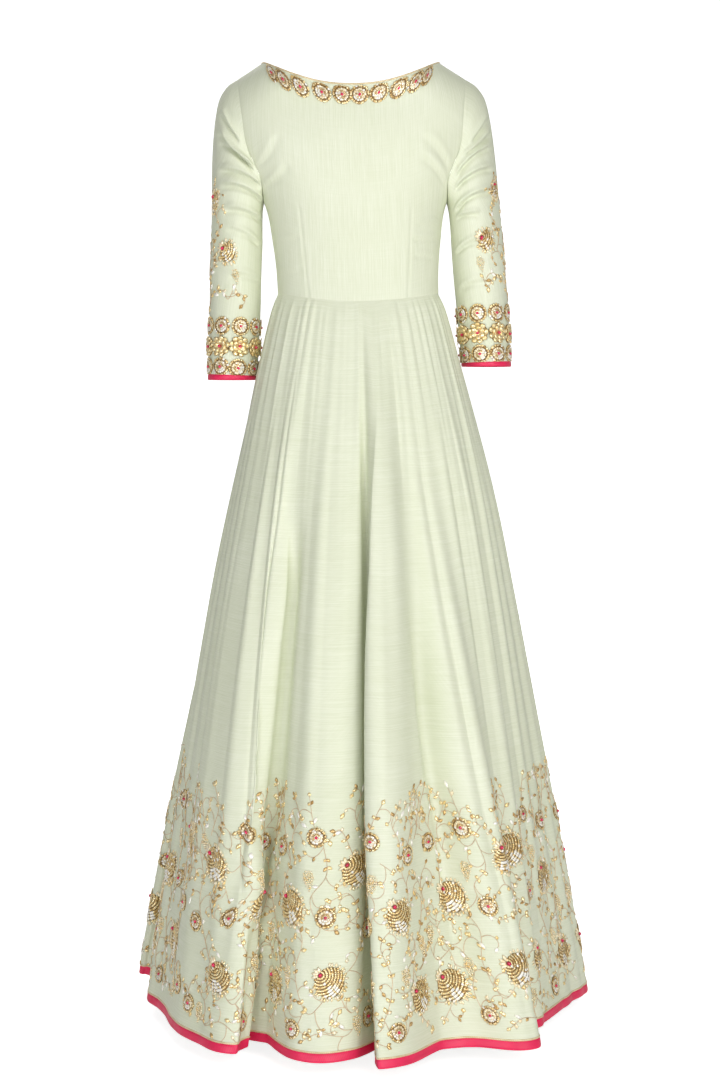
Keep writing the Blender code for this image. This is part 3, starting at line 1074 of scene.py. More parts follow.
@dataclass(frozen=True)
class Cluster:
    """A tapering bunch of tiny round beads hanging from a stalk."""

    length: float = 0.0240
    width: float = 0.0175
    bead: float = 0.00135
    seed: int = 11

    def mesh(self) -> Mesh:
        """Build the bunch, with its top at the origin.

        Returns:
            The mesh.
        """
        draw = np.random.default_rng(self.seed)
        motif = Motif()
        step = self.bead * 1.95
        rows = int(self.length / (step * 0.87))
        for row in range(rows):
            share = row / (rows - 1)
            if share < 0.35:
                fullness = sin(pi * min(1.0, 0.22 + share * 0.5))
            else:
                fullness = 1.0 - ((share - 0.35) / 0.70) ** 1.4
            half = self.width / 2 * fullness
            count = max(1, int(2 * half / step))
            for column in range(count):
                x = (column - (count - 1) / 2) * step + draw.uniform(-0.2, 0.2) * step
                y = -share * self.length + draw.uniform(-0.2, 0.2) * step
                bead = Bead.PALE if draw.random() < 0.8 else Bead.GOLD
                size = self.bead * draw.uniform(0.85, 1.1)
                motif.bead(x, y, size, bead, 0.0009 + 0.0006 * draw.random())
        return motif.finished("cluster")


@dataclass(frozen=True)
class Leaf:
    """One pointed leaf, lying along +X from the origin."""

    length: float
    width: float
    bead: Bead

    def mesh(self) -> Mesh:
        """Build the leaf."""
        motif = Motif()
        motif.leaf((0.0, 0.0), (self.length, self.width), 0.0, self.bead)
        return motif.finished("leaf")


class Beadwork:
    """Motifs and threads gathered flat over a cloth, then laid on it as one piece."""

    def __init__(self, name: str, cloth: Cloth) -> None:
        """Start beadwork for a cloth."""
        self.name = name
        self.cloth = cloth
        self.mesh = bmesh.new()

    def squeeze(self, height: float) -> float:
        """Return how much wider the edge is than the cloth at a height."""
        return float(self.cloth.widths[-1]) / self.cloth.width_at(height)

    def stamp(self, motif: Mesh, x: float, y: float, turn: float = 0.0, size: float = 1.0) -> None:
        """Stamp a motif.

        Args:
            motif: Its mesh.
            x: Place across, in the edge's metres.
            y: Distance from the edge.
            turn: How far it is turned.
            size: Its scale.
        """
        first = len(self.mesh.verts)
        self.mesh.from_mesh(motif)
        self.mesh.verts.ensure_lookup_table()
        matrix = (
            Matrix.Translation((x, y, 0.0))
            @ Matrix.Diagonal((self.squeeze(y), 1.0, 1.0, 1.0))
            @ Matrix.Rotation(turn, 4, "Z")
            @ Matrix.Scale(size, 4)
        )
        bmesh.ops.transform(self.mesh, matrix=matrix, verts=self.mesh.verts[first:])

    def threads(self, paths: Sequence[Array], radius: float) -> None:
        """Add couched threads along flat paths.

        Args:
            paths: Their points, off the cloth.
            radius: The threads' radius.
        """
        curve = bpy.data.curves.new("threads", "CURVE")
        curve.dimensions = "3D"
        curve.bevel_depth = radius
        curve.bevel_resolution = 0
        curve.use_fill_caps = True
        for path in paths:
            spline = curve.splines.new("POLY")
            spline.points.add(len(path) - 1)
            weighted = np.insert(path, 3, 1.0, axis=1)
            spline.points.foreach_set("co", weighted.astype(np.float32).ravel())
        holder = bpy.data.objects.new("threads", curve)
        data = bpy.data.meshes.new_from_object(holder)
        first = len(self.mesh.faces)
        self.mesh.from_mesh(data)
        self.mesh.faces.ensure_lookup_table()
        for face in self.mesh.faces[first:]:
            face.material_index = int(Bead.THREAD)
        bpy.data.objects.remove(holder)
        bpy.data.meshes.remove(data)
        bpy.data.curves.remove(curve)

    def lay(self, materials: Sequence[Material]) -> Piece:
        """Lay the gathered work on its cloth and return the piece."""
        data = as_mesh(self.mesh, self.name)
        move_vertices(data, self.cloth.lay(vertex_places(data).astype(float)))
        data.update()
        return put_in_scene(self.name, data, materials)


@dataclass
class Vine:
    """A wandering stem, drawn flat, with leaves at its nodes and curling side shoots."""

    knots: Sequence[tuple[float, float]]
    step: float = 0.0035
    leaf_step: float = 0.0118

    def path(self) -> Array:
        """Return the stem as close points on a smooth curve through its knots.

        Returns:
            The points, drawn flat.
        """
        knots = np.array(self.knots, dtype=float)
        ends = np.concatenate([[2 * knots[0] - knots[1]], knots, [2 * knots[-1] - knots[-2]]])
        found = []
        for start in range(1, len(ends) - 2):
            before, here, there, after = ends[start - 1 : start + 3]
            count = max(3, int(np.hypot(*(there - here)) / self.step))
            share = np.linspace(0.0, 1.0, count, endpoint=False)[:, None]
            square = (2 * before - 5 * here + 4 * there - after) * share**2
            cube = (3 * here - before - 3 * there + after) * share**3
            found.append(0.5 * (2 * here + (there - before) * share + square + cube))
        found.append(knots[-1:])
        return np.concatenate(found)


def curl(start: Array, way: float, length: float, bend: float, step: float = 0.0025) -> Array:
    """Return a side shoot that curls up tighter towards its tip.

    Args:
        start: Where it leaves the stem.
        way: Its first direction.
        length: Its length.
        bend: How far it turns in all, with its sign.
        step: Distance between its points.

    Returns:
        Its points.
    """
    count = max(4, int(length / step))
    share = np.linspace(0.0, 1.0, count)
    ways = way + bend * share**1.6
    moves = np.stack([np.cos(ways), np.sin(ways)], axis=-1) * length / count
    return start + np.concatenate([[[0.0, 0.0]], np.cumsum(moves, axis=0)])


def lifted(path: Array, lift: float) -> Array:
    """Return a flat path raised off the cloth."""
    return np.column_stack([path, np.full(len(path), lift)])


def way_along(path: Array, place: int) -> float:
    """Return the direction of a flat path where it reaches a place."""
    return atan2(path[place][1] - path[place - 1][1], path[place][0] - path[place - 1][0])


# The kinds of leaf: length, width, finish and how often each is drawn
LEAF_KINDS = (
    (0.0090, 0.0062, Bead.GOLD, 0.30),
    (0.0084, 0.0058, Bead.PALE, 0.16),
    (0.0108, 0.0058, Bead.SILVER, 0.14),
    (0.0086, 0.0054, Bead.ANTIQUE, 0.22),
    (0.0064, 0.0068, Bead.GOLD, 0.18),
)


class Garland:
    """Vines with their leaves and shoots, gathered into a piece of beadwork."""

    def __init__(self, work: Beadwork, seed: int, thread: float = 0.00045) -> None:
        """Start a garland on a piece of beadwork.

        Args:
            work: The beadwork.
            seed: Which garland.
            thread: The stems' radius.
        """
        self.work = work
        self.draw = np.random.default_rng(seed)
        self.thread = thread
        self.paths: list[Array] = []
        self.leaves = [Leaf(*kind[:3]).mesh() for kind in LEAF_KINDS]
        self.odds = [kind[3] for kind in LEAF_KINDS]

    def leaf(self, place: Array, way: float, size: float = 1.0) -> None:
        """Stamp one leaf, its kind drawn by lot."""
        kind = self.draw.choice(len(self.leaves), p=self.odds)
        size *= self.draw.uniform(0.85, 1.12)
        self.work.stamp(self.leaves[kind], place[0], place[1], way, size)

    def grow(self, vine: Vine, shoots: float = 0.75) -> None:
        """Draw a vine's stem, leaves and shoots.

        Args:
            vine: The stem.
            shoots: The chance of a curling shoot at a node.
        """
        path = vine.path()
        self.paths.append(path)
        travelled, side = 0.0, 1.0
        next_leaf = vine.leaf_step * 0.6
        for before, after in zip(path[:-1], path[1:]):
            travelled += float(np.hypot(*(after - before)))
            if travelled < next_leaf:
                continue
            next_leaf = travelled + vine.leaf_step * self.draw.uniform(0.75, 1.25)
            way = atan2(after[1] - before[1], after[0] - before[0])
            side = -side
            if self.draw.random() < shoots * 0.45:
                self.shoot(after, way + side * radians(48.0), side)
            else:
                self.leaf(after, way + side * radians(self.draw.uniform(32.0, 58.0)))
                if self.draw.random() < 0.8:
                    self.leaf(after, way - side * radians(self.draw.uniform(30.0, 60.0)), 0.9)
        self.leaf(path[-1], way_along(path, -1))

    def shoot(self, start: Array, way: float, side: float) -> None:
        """Draw a curling side shoot with a leaf at its tip and one or two on the way.

        Args:
            start: Where it leaves the stem.
            way: Its first direction.
            side: Which way it curls, as a sign.
        """
        length = self.draw.uniform(0.020, 0.042)
        path = curl(start, way, length, side * radians(self.draw.uniform(70.0, 190.0)))
        self.paths.append(path)
        self.leaf(path[-1], way_along(path, -1))
        middle = len(path) * 3 // 5
        middle_way = way_along(path, middle)
        self.leaf(path[middle], middle_way + radians(42.0), 0.9)
        if self.draw.random() < 0.6:
            self.leaf(path[middle], middle_way - radians(42.0), 0.9)

    def finish(self) -> None:
        """Add all the stems to the beadwork."""
        self.work.threads([lifted(path, THREAD_LIFT) for path in self.paths], self.thread)


# ---------------------------------------------------------------- the gown's parts


# A tape's rows, how far it stands proud of the cloth, and how far its edges are sunk
TAPE_ROWS, TAPE_PROUD, TAPE_SUNK = 6, 0.0009, 0.0004


def cord_mesh(path: Array, outward: Array, radius: float, sides: int) -> Mesh:
    """Make a closed round cord along a closed path.

    Args:
        path: Its middle line.
        outward: A direction across it at each point.
        radius: Its radius.
        sides: How many sides it has.

    Returns:
        The mesh, with its round and its length as its UV map.
    """
    count = len(path)

    def surface(across: Array, along: Array) -> Array:
        """Return the cord's points, round and along it."""
        place = np.rint(along * count).astype(int) % count
        tangent = unit(np.roll(path, -1, axis=0) - np.roll(path, 1, axis=0))
        over = unit(outward - tangent * (outward * tangent).sum(-1, keepdims=True))
        under = np.cross(tangent, over)
        turn = (across * 2 * pi)[..., None]
        return path[place] + radius * (over[place] * np.cos(turn) + under[place] * np.sin(turn))

    return cloth_mesh(Cloth(surface, sides, count, closed=True))


@dataclass
class Bodice:
    """Front and back panels with their darts, drag lines and neck cord."""

    torso: Torso
    columns: int = 162
    rows: int = 120
    side_share: float = 4 / 12
    underarm_drop: float = 0.195
    underarm_scoop: float = 0.6
    shoulder_half: float = 0.160
    armhole_top: float = -0.022
    back_neck_depth: float = 0.041
    front_neck_depth: float = 0.050
    neck_curve: float = 2.2
    neck_share: float = 14 / 18
    cloth: float = 0.0013
    cord_radius: float = 0.0014
    cord_inset: float = 0.0004
    dart_top: Place = (0.078, -0.198)
    dart_foot: Place = (0.0685, -0.334)
    dart_seam: Place = (0.0011, 0.0016)
    dart_swell: Place = (0.0007, 0.007)
    side_dip: Place = (0.0004, 0.0022)
    waist_dip: Place = (0.0001, 0.0016)
    drop: float = 0.33
    medallion_drop: float = 0.0160
    flat: Place = (0.36, 0.38)
    flat_area: float = 0.098
    armhole_heights: Row = (-0.195, -0.165, -0.120, -0.070, -0.022)
    armhole_widths: Row = (0.1290, 0.1305, 0.1480, 0.1545, 0.1600)
    back_creases: tuple[Crease, ...] = (
        Crease((-0.1150, -0.222), (-0.082, -0.227), 0.0014, 0.0028, 0.05),
        Crease((-0.1130, -0.243), (-0.074, -0.243), 0.0018, 0.0030, -0.04),
        Crease((-0.1100, -0.272), (-0.078, -0.268), 0.0017, 0.0029, 0.06),
        Crease((0.1120, -0.248), (0.078, -0.240), 0.0010, 0.0036, 0.05),
        Crease((0.1100, -0.290), (0.074, -0.283), 0.0009, 0.0036, 0.05),
        Crease((-0.1290, -0.170), (-0.092, -0.128), 0.0016, 0.0052, 0.10),
        Crease((-0.1350, -0.148), (-0.100, -0.100), 0.0013, 0.0056, 0.08),
        Crease((0.1300, -0.172), (0.096, -0.140), 0.0013, 0.0056, 0.10),
        Crease((0.1370, -0.146), (0.112, -0.100), 0.0010, 0.0056, 0.08),
    )
    front_creases: tuple[Crease, ...] = (
        Crease((-0.1290, -0.176), (-0.088, -0.190), 0.0016, 0.0048, 0.08),
        Crease((0.1290, -0.174), (0.090, -0.186), 0.0016, 0.0048, 0.08),
        Crease((-0.1120, -0.250), (-0.080, -0.246), 0.0013, 0.0036, 0.05),
        Crease((0.1120, -0.262), (0.078, -0.256), 0.0013, 0.0036, 0.05),
        Crease((-0.1400, -0.130), (-0.104, -0.150), 0.0013, 0.0052, 0.08),
        Crease((0.1400, -0.128), (0.106, -0.146), 0.0013, 0.0052, 0.08),
    )

    def armhole_height(self, share: Array) -> Array:
        """Return the height of the armhole's edge, from the underarm up."""
        scoop = self.underarm_scoop
        rise = scoop * (1.0 - np.cos(share * pi / 2)) + (1.0 - scoop) * share
        return -self.underarm_drop + (self.armhole_top + self.underarm_drop) * rise

    def outer_edge(self, along: Array) -> tuple[Array, Array]:
        """Return the side and height of a panel's outer edge.

        Args:
            along: Place along, from the waist up.

        Returns:
            The side and the height.
        """
        start = self.torso.waist_height(1.0)
        seam = start + (-self.underarm_drop - start) * along / self.side_share
        above = np.clip((along - self.side_share) / (1.0 - self.side_share), 0.0, 1.0)
        armhole = self.armhole_height(above)
        side = np.where(
            along <= self.side_share,
            self.torso.half_width(seam),
            Table(self.armhole_heights, self.armhole_widths).at(armhole),
        )
        return side, np.where(along <= self.side_share, seam, armhole)

    def neck_edge(self, across: Array, depth: float) -> tuple[Array, Array]:
        """Return the side and height of a panel's top edge.

        Args:
            across: Place across, from -1 to 1.
            depth: The neck's depth.

        Returns:
            The side and the height.
        """
        share, half = np.abs(across), self.torso.neck_half
        neck = half * np.minimum(share, self.neck_share) / self.neck_share
        dip = -depth * (1.0 - (neck / half) ** self.neck_curve)
        spare = self.shoulder_half - half
        shoulder = half + spare * (share - self.neck_share) / (1.0 - self.neck_share)
        inside = share < self.neck_share
        side = np.where(inside, neck, shoulder)
        height = np.where(inside, dip, self.torso.shoulder_slope * (half - shoulder))
        return np.where(across >= 0, side, -side), height

    def point(self, across: Array, along: Array, facing: Facing) -> Array:
        """Return points of a panel; across runs -1 to 1 and along from the waist up.

        Args:
            across: Place across.
            along: Place along.
            facing: Which panel.

        Returns:
            The points.
        """
        depth = self.back_neck_depth if facing is Facing.BACK else self.front_neck_depth
        edge_side, edge_height = self.outer_edge(along)
        low_side, low_height = (float(value) for value in self.outer_edge(np.array(0.0)))
        top_side, top_height = (float(value) for value in self.outer_edge(np.array(1.0)))
        rise = (edge_height - low_height) / (top_height - low_height)
        sine = np.sin(across * pi / 2)
        waist_height = self.torso.waist_height(sine)
        waist_side = self.torso.half_width(waist_height) * sine
        neck_side, neck_height = self.neck_edge(across, depth)
        side = waist_side * (1.0 - rise) + neck_side * rise + edge_side * across
        side -= across * (low_side * (1.0 - rise) + top_side * rise)
        height = waist_height * (1.0 - rise) + neck_height * rise + edge_height
        height -= low_height * (1.0 - rise) + top_height * rise
        return self.torso.leaned(self.torso.point(side, height, float(facing.value)))

    def dart(self, points: Array, side: float, facing: float, normals: Array) -> Array:
        """Return the dip of one waist dart, with the soft swell beyond its point.

        Args:
            points: Points with no lean.
            side: Which dart, as a sign.
            facing: Which panel, as a sign.
            normals: The cloth's normals there.

        Returns:
            The height at each point.
        """
        foot = np.array([self.dart_foot[0] * side, self.dart_foot[1]])
        way = np.array([self.dart_top[0] * side, self.dart_top[1]]) - foot
        length = float(np.hypot(*way))
        offset = points[..., (0, 2)] - foot
        along = (offset @ way) / length**2
        beside = offset @ np.array([-way[1], way[0]]) / length
        seam = edge_dip(beside, *self.dart_seam) * ease((1.0 - along) / 0.12)
        swell = -edge_dip(beside, *self.dart_swell) * ease((1.0 - along) / 0.5)
        return (seam + swell) * ease(along * 8.0 + 0.5) * ease(normals[..., 1] * facing * 2.0)

    def relief(self, facing: Facing) -> Relief:
        """Return the relief of a panel: seams, darts, drag lines and slow unevenness.

        Args:
            facing: Which panel.

        Returns:
            The function that gives its height.
        """
        creases = self.back_creases if facing is Facing.BACK else self.front_creases
        sign = float(facing.value)

        def height(across: Array, along: Array, points: Array, normals: Array) -> Array:
            """Return the height of the panel's relief at each place."""
            centred = self.torso.upright(points)
            total = ripple(across, along, 21 + facing.value, 5, 0.0006)
            total = total * np.sin(pi * across) * np.sin(pi * along)
            for crease in creases:
                total = total + crease.relief(centred, normals, sign)
            for side in (-1.0, 1.0):
                total = total + self.dart(centred, side, sign, normals)
            shared = np.abs(2.0 * across - 1.0)
            total *= ease((1.0 - shared) / 0.06)
            width = self.torso.half_width(points[..., 2]) * pi / 2
            total += edge_dip((1.0 - shared) * width, *self.side_dip)
            return total + edge_dip(along * self.drop, *self.waist_dip)

        return height

    def panel(self, facing: Facing) -> Cloth:
        """Lay one panel."""
        sign = facing.value

        def surface(across: Array, along: Array) -> Array:
            """Return the panel's plain points, from its left edge to its right."""
            return self.point((2.0 * across - 1.0) * sign, along, facing)

        relief = self.relief(facing)
        return Cloth(surface, self.columns, self.rows, facing=float(sign), relief=relief)

    def neck_path(self) -> tuple[Array, Array]:
        """Return the neck cord's middle line and the direction away from the cloth."""
        spare = round((1.0 - self.neck_share) / 2 * self.columns)
        neck = slice(spare, self.columns - spare)
        found, ways = [], []
        for panel in (self.back, self.front):
            edge, out = panel.points[-1, neck], panel.normals[-1, neck]
            up = unit(edge - panel.points[-3, neck])
            found.append(edge + up * self.cord_radius * 0.55 - out * self.cord_inset)
            ways.append(out)
        return np.concatenate(found), np.concatenate(ways)

    def build(self, beads: Sequence[Material], silk: Material, cream: Material) -> None:
        """Build the bodice's pieces.

        Args:
            beads: The beadwork's finishes.
            silk: The silk's finish.
            cream: The cord's finish.
        """
        self.back, self.front = self.panel(Facing.BACK), self.panel(Facing.FRONT)
        extras: dict[str, list[Piece]] = {"back": [], "front": []}
        data = cord_mesh(*self.neck_path(), self.cord_radius, 10)
        extras["back"].append(stand_in("neck_cord", data, cream, "neck_piping"))
        rounds = [Medallion(seed=seed).mesh() for seed in (5, 6, 7)]
        panels = (("back", self.back, NECK_BACK), ("front", self.front, NECK_FRONT))
        for name, cloth, places in panels:
            work = Beadwork(f"neck_medallions_{name}", cloth)
            for number, place in enumerate(places):
                across = place * cloth.handed
                work.stamp(rounds[number % 3], across, self.medallion_drop, 0.5 * number)
            extras[name].append(work.lay(beads))
        for name, cloth, _ in panels:
            label, node = f"bodice_{name}_silk", f"bodice_{name}"
            piece = stand_in(label, cloth_mesh(cloth), silk, node, self.cloth)
            LOG.info("bodice %s: %.4f m2 of silk", name, cloth.area())


# Centres of the neck medallions, in metres along the neck edge from the middle, on each panel
NECK_BACK = (
    0.1410, 0.1140, 0.0826, 0.0472, 0.0150, -0.0125, -0.0430, -0.0750, -0.1050, -0.1300,
)
NECK_FRONT = (
    0.1400, 0.1110, 0.0790, 0.0465, 0.0155, -0.0150, -0.0460, -0.0775, -0.1085, -0.1380,
)


# The spray's stems, each knot in degrees round from the outer side and metres above the cuff
SPRAY_STEMS = (
    ((8, 0.088), (30, 0.112), (22, 0.140), (48, 0.160), (70, 0.170)),
    ((48, 0.160), (34, 0.186), (52, 0.208), (38, 0.232), (30, 0.250)),
    ((30, 0.112), (62, 0.120), (78, 0.106), (88, 0.118)),
    ((22, 0.140), (-10, 0.156), (-26, 0.180), (-8, 0.205), (-20, 0.232)),
    ((8, 0.088), (-24, 0.104), (-40, 0.128), (-58, 0.140)),
    ((38, 0.232), (20, 0.262), (28, 0.288)),
)


@dataclass
class Sleeve:
    """One set-in sleeve with its cuff tape, rows of medallions and its spray."""

    torso: Torso
    bodice: Bodice
    side: int
    cuff_drop: float
    creases: tuple[Crease, ...]
    columns: int = 160
    rows: int = 170
    cap_blend: float = 0.30
    binding: float = 0.0068
    cloth: float = 0.0012
    tape: float = 0.0018
    flat: Place = (0.33, 0.45)
    flat_area: float = 0.1000
    shares: Row = (0.0, 0.08, 0.18, 0.34, 0.55, 0.78, 1.0)
    outer: Row = (0.1600, 0.1760, 0.1890, 0.1985, 0.2040, 0.2110, 0.2165)
    outer_drop: Row = (0.0220, 0.0330, 0.0560, 0.1150, 0.2050, 0.3080, 0.4330)
    inner: Row = (0.1290, 0.1305, 0.1315, 0.1325, 0.1350, 0.1395, 0.1465)
    inner_drop: Row = (0.1950, 0.2020, 0.2120, 0.2330, 0.2750, 0.3450, 0.4330)
    half_depth: Row = (0.056, 0.058, 0.057, 0.054, 0.049, 0.045, 0.042)
    forward: Row = (0.000, 0.002, 0.004, 0.008, 0.014, 0.022, 0.030)
    row_heights: Row = (0.0110, 0.0410, 0.0700)
    armhole_dip: Place = (0.0004, 0.0024)
    under_dip: Place = (0.0005, 0.0012)
    drop: float = 0.4
    round_cuff: float = 0.26
    per_row: int = 9

    @property
    def label(self) -> str:
        """Return left or right."""
        return "left" if self.side > 0 else "right"

    def share_of(self, length: float) -> float:
        """Return the share of the sleeve that a length takes just above the cuff."""
        outer, inner = self.outer_drop, self.inner_drop
        drop = (outer[-1] - outer[-2] + inner[-1] - inner[-2]) / 2
        return length * (self.shares[-1] - self.shares[-2]) / drop

    def armhole(self, turn: Array) -> Array:
        """Return points of the armhole; turn runs from the shoulder over the back and under.

        Args:
            turn: Place round it.

        Returns:
            The points.
        """
        turn = np.mod(turn, 2 * pi)
        height = self.bodice.armhole_height(np.abs(1.0 - turn / pi))
        side = Table(self.bodice.armhole_heights, self.bodice.armhole_widths).at(height)
        return self.torso.point(side, height, np.where(turn <= pi, 1.0, -1.0))

    def ellipse(self, turn: Array, share: Array) -> Array:
        """Return points of the sleeve's plain tube.

        Args:
            turn: Place round it.
            share: Place down it.

        Returns:
            The points.
        """
        stretch = 1.0 + (self.cuff_drop / self.outer_drop[-1] - 1.0) * share
        outer = Table(self.shares, self.outer).at(share)
        outer_z = -Table(self.shares, self.outer_drop).at(share) * stretch
        inner = Table(self.shares, self.inner).at(share)
        inner_z = -Table(self.shares, self.inner_drop).at(share) * stretch
        depth = Table(self.shares, self.half_depth).at(share)
        forward = Table(self.shares, self.forward).at(share)
        across, down = np.cos(turn), np.sin(turn)
        return stacked(
            (outer + inner) / 2 + (outer - inner) / 2 * across,
            depth * down - forward,
            (outer_z + inner_z) / 2 + (outer_z - inner_z) / 2 * across,
        )

    def point(self, across: Array, share: Array) -> Array:
        """Return points of the sleeve, from the armhole to the cuff.

        Args:
            across: Place round it, from 0 to 1.
            share: Place down it.

        Returns:
            The points.
        """
        turn = 2 * pi * across
        fade = np.clip(1.0 - share / self.cap_blend, 0.0, 1.0)[..., None] ** 2
        points = self.ellipse(turn, share)
        points = points + (self.armhole(turn) - self.ellipse(turn, np.zeros_like(share))) * fade
        points[..., 0] *= self.side
        return self.torso.leaned(points)

    def relief(self, across: Array, along: Array, points: Array, normals: Array) -> Array:
        """Return the sleeve's creases, seam dips and slow unevenness.

        Args:
            across: Place across.
            along: Place along.
            points: The plain points there.
            normals: The cloth's normals there.

        Returns:
            The height at each place.
        """
        centred = self.torso.upright(points)
        centred[..., 0] *= self.side
        total = ripple(across, along, 40 + self.side, 6, 0.0009) * np.sin(pi * np.clip(along, 0, 1))
        for crease in self.creases:
            total = total + crease.relief(centred, normals, 1.0)
            total = total + crease.relief(centred, normals, -1.0) * 0.8
        total *= ease(along / 0.05) * ease((1.0 - along) / 0.08)
        total += edge_dip(along * self.drop, *self.armhole_dip)
        under = np.abs(np.mod(across, 1.0) - 0.5) * self.round_cuff
        return total + edge_dip(under, *self.under_dip) * ease(along / 0.05)

    def stretch(self, first: float, last: float, rows: int, proud: float) -> Cloth:
        """Lay a stretch of the sleeve.

        Args:
            first: Where it starts.
            last: Where it ends.
            rows: How many rows it has.
            proud: How far it stands off the cloth.

        Returns:
            The laid cloth.
        """

        def rolled(across: Array, along: Array, points: Array, normals: Array) -> Array:
            """Return the height of the cuff tape at each place."""
            share = (along - first) / (last - first)
            return proud * crown(share) - TAPE_SUNK + ripple(across * 5.0, share, 60, 4, 0.00012)

        relief = self.relief if proud == 0.0 else rolled
        return Cloth(self.point, self.columns, rows, first, last, closed=True, relief=relief)

    def build(self, beads: Sequence[Material], silk: Material, pink: Material) -> None:
        """Build the sleeve's pieces.

        Args:
            beads: The beadwork's finishes.
            silk: The silk's finish.
            pink: The tape's finish.
        """
        start = 1.0 - self.share_of(self.binding)
        cloth = self.stretch(0.0, start, self.rows, 0.0)
        data = cloth_mesh(self.stretch(start, 1.0, TAPE_ROWS, TAPE_PROUD))
        name, node = f"cuff_tape_{self.label}", f"cuff_binding_{self.label}"
        tape = stand_in(name, data, pink, node, self.tape)
        extras = [tape, self.medallions(cloth).lay(beads), self.spray(cloth).lay(beads)]
        name, node = f"sleeve_{self.label}_silk", f"sleeve_{self.label}"
        piece = stand_in(name, cloth_mesh(cloth), silk, node, self.cloth)
        measures = cloth.area(), cloth.widths[-1]
        LOG.info("sleeve %s: %.4f m2 of silk, %.3f m round the cuff", self.label, *measures)

    def medallions(self, cloth: Cloth) -> Beadwork:
        """Stamp the three rows of medallions above the cuff.

        Args:
            cloth: The sleeve's cloth.

        Returns:
            The beadwork.
        """
        work = Beadwork(f"sleeve_{self.label}_medallions", cloth)
        plain = [Medallion(seed=seed).mesh() for seed in (15, 16)]
        bright = Medallion(radius=0.0150, bright=True, seed=17).mesh()
        width = float(cloth.widths[-1])
        draw = np.random.default_rng(70 + self.side)
        for row, height in enumerate(self.row_heights):
            for number in range(self.per_row):
                share = (number + 0.62 + draw.uniform(-0.04, 0.04)) / self.per_row
                motif = bright if row == 1 else plain[number % 2]
                up = height + draw.uniform(-0.0012, 0.0012)
                work.stamp(motif, share * width * cloth.handed, up, 0.7 * number)
        return work

    def spray(self, cloth: Cloth) -> Beadwork:
        """Stamp the flowering spray that climbs the outer side of the sleeve.

        Args:
            cloth: The sleeve's cloth.

        Returns:
            The beadwork.
        """
        work = Beadwork(f"sleeve_{self.label}_spray", cloth)
        garland = Garland(work, 90 + self.side)
        width = float(cloth.widths[-1])
        way = cloth.handed

        def at(turn: float, height: float) -> Place:
            """Return a place on the flat cloth, from degrees round and height above the cuff."""
            return turn / 360.0 * width * way, height

        for stem in SPRAY_STEMS:
            garland.grow(Vine([at(*knot) for knot in stem], leaf_step=0.0086), 0.35)
        garland.finish()
        bloom = Bloom(radius=0.0150, heart=(-0.0070, 0.0078), petals=15, seed=31).mesh()
        work.stamp(bloom, *at(74, 0.172), radians(10.0))
        work.stamp(bloom, *at(30, 0.252), radians(-20.0), 0.92)
        work.stamp(bloom, *at(-26, 0.184), radians(25.0), 0.9)
        bunch = Cluster(length=0.020, width=0.015, seed=32).mesh()
        work.stamp(bunch, *at(92, 0.148), radians(12.0))
        work.stamp(bunch, *at(-56, 0.150), radians(-10.0))
        return work


@dataclass(frozen=True)
class Fold:
    """A large fold of the skirt, in degrees round from centre back towards the wearer's left."""

    turn: float
    half_width: float
    height: float
    lean: float
    start: float
    growth: float
    skew: float = 0.0


@dataclass(frozen=True)
class Tuck:
    """A sharp fold edge: a lip of cloth that hangs a little over the valley beside it.

    The lip hangs towards wearer's left where side is 1, and towards their right where it is -1.
    """

    shares: Row
    turns: Row
    side: int
    start: float
    full: float
    overlap: float = 0.008
    lift: float = 0.004
    depth: float = 0.007
    width: float = 2.2

    def bend(self, turn: Array, share: Array) -> tuple[Array, Array]:
        """Return how far the tuck moves the cloth outwards and round, in metres.

        Args:
            turn: Place round the skirt.
            share: Place down it.

        Returns:
            The move outwards and the move round.
        """
        edge = Table(self.shares, self.turns).at(share)
        beyond = nearest_turn(np.degrees(turn) - edge) * self.side / self.width
        grown = ease((share - self.start) / (self.full - self.start))
        round_by = self.overlap * self.side * np.exp(-((beyond + 0.5) ** 2) * 2.4)
        out = self.lift * bell(beyond + 1.1) - self.depth * bell((beyond - 1.2) / 1.3)
        return out * grown, round_by * grown


@dataclass(frozen=True)
class Flute:
    """A soft ridge down the skirt: a gather near the waist, or a long shallow fold."""

    turn: float
    half_width: float
    height: float
    start: float
    full: float
    end: float
    fade: float
    drift: float
    skew: float

    def relief(self, turn: Array, share: Array) -> Array:
        """Return how far the ridge lifts each place.

        Args:
            turn: Place round the skirt.
            share: Place down it.

        Returns:
            The lift.
        """
        middle = self.turn + self.drift * share
        near = nearest_turn(turn - middle) / self.half_width
        inside = np.abs(near) < 1.0
        near = near + self.skew * (1.0 - near**2)
        shape = np.where(inside, np.maximum(0.0, 1.0 - near**2) ** 2, 0.0)
        grown = ease((share - self.start) / (self.full - self.start))
        gone = 1.0 - ease((share - self.end) / self.fade)
        return self.height * shape * grown * gone


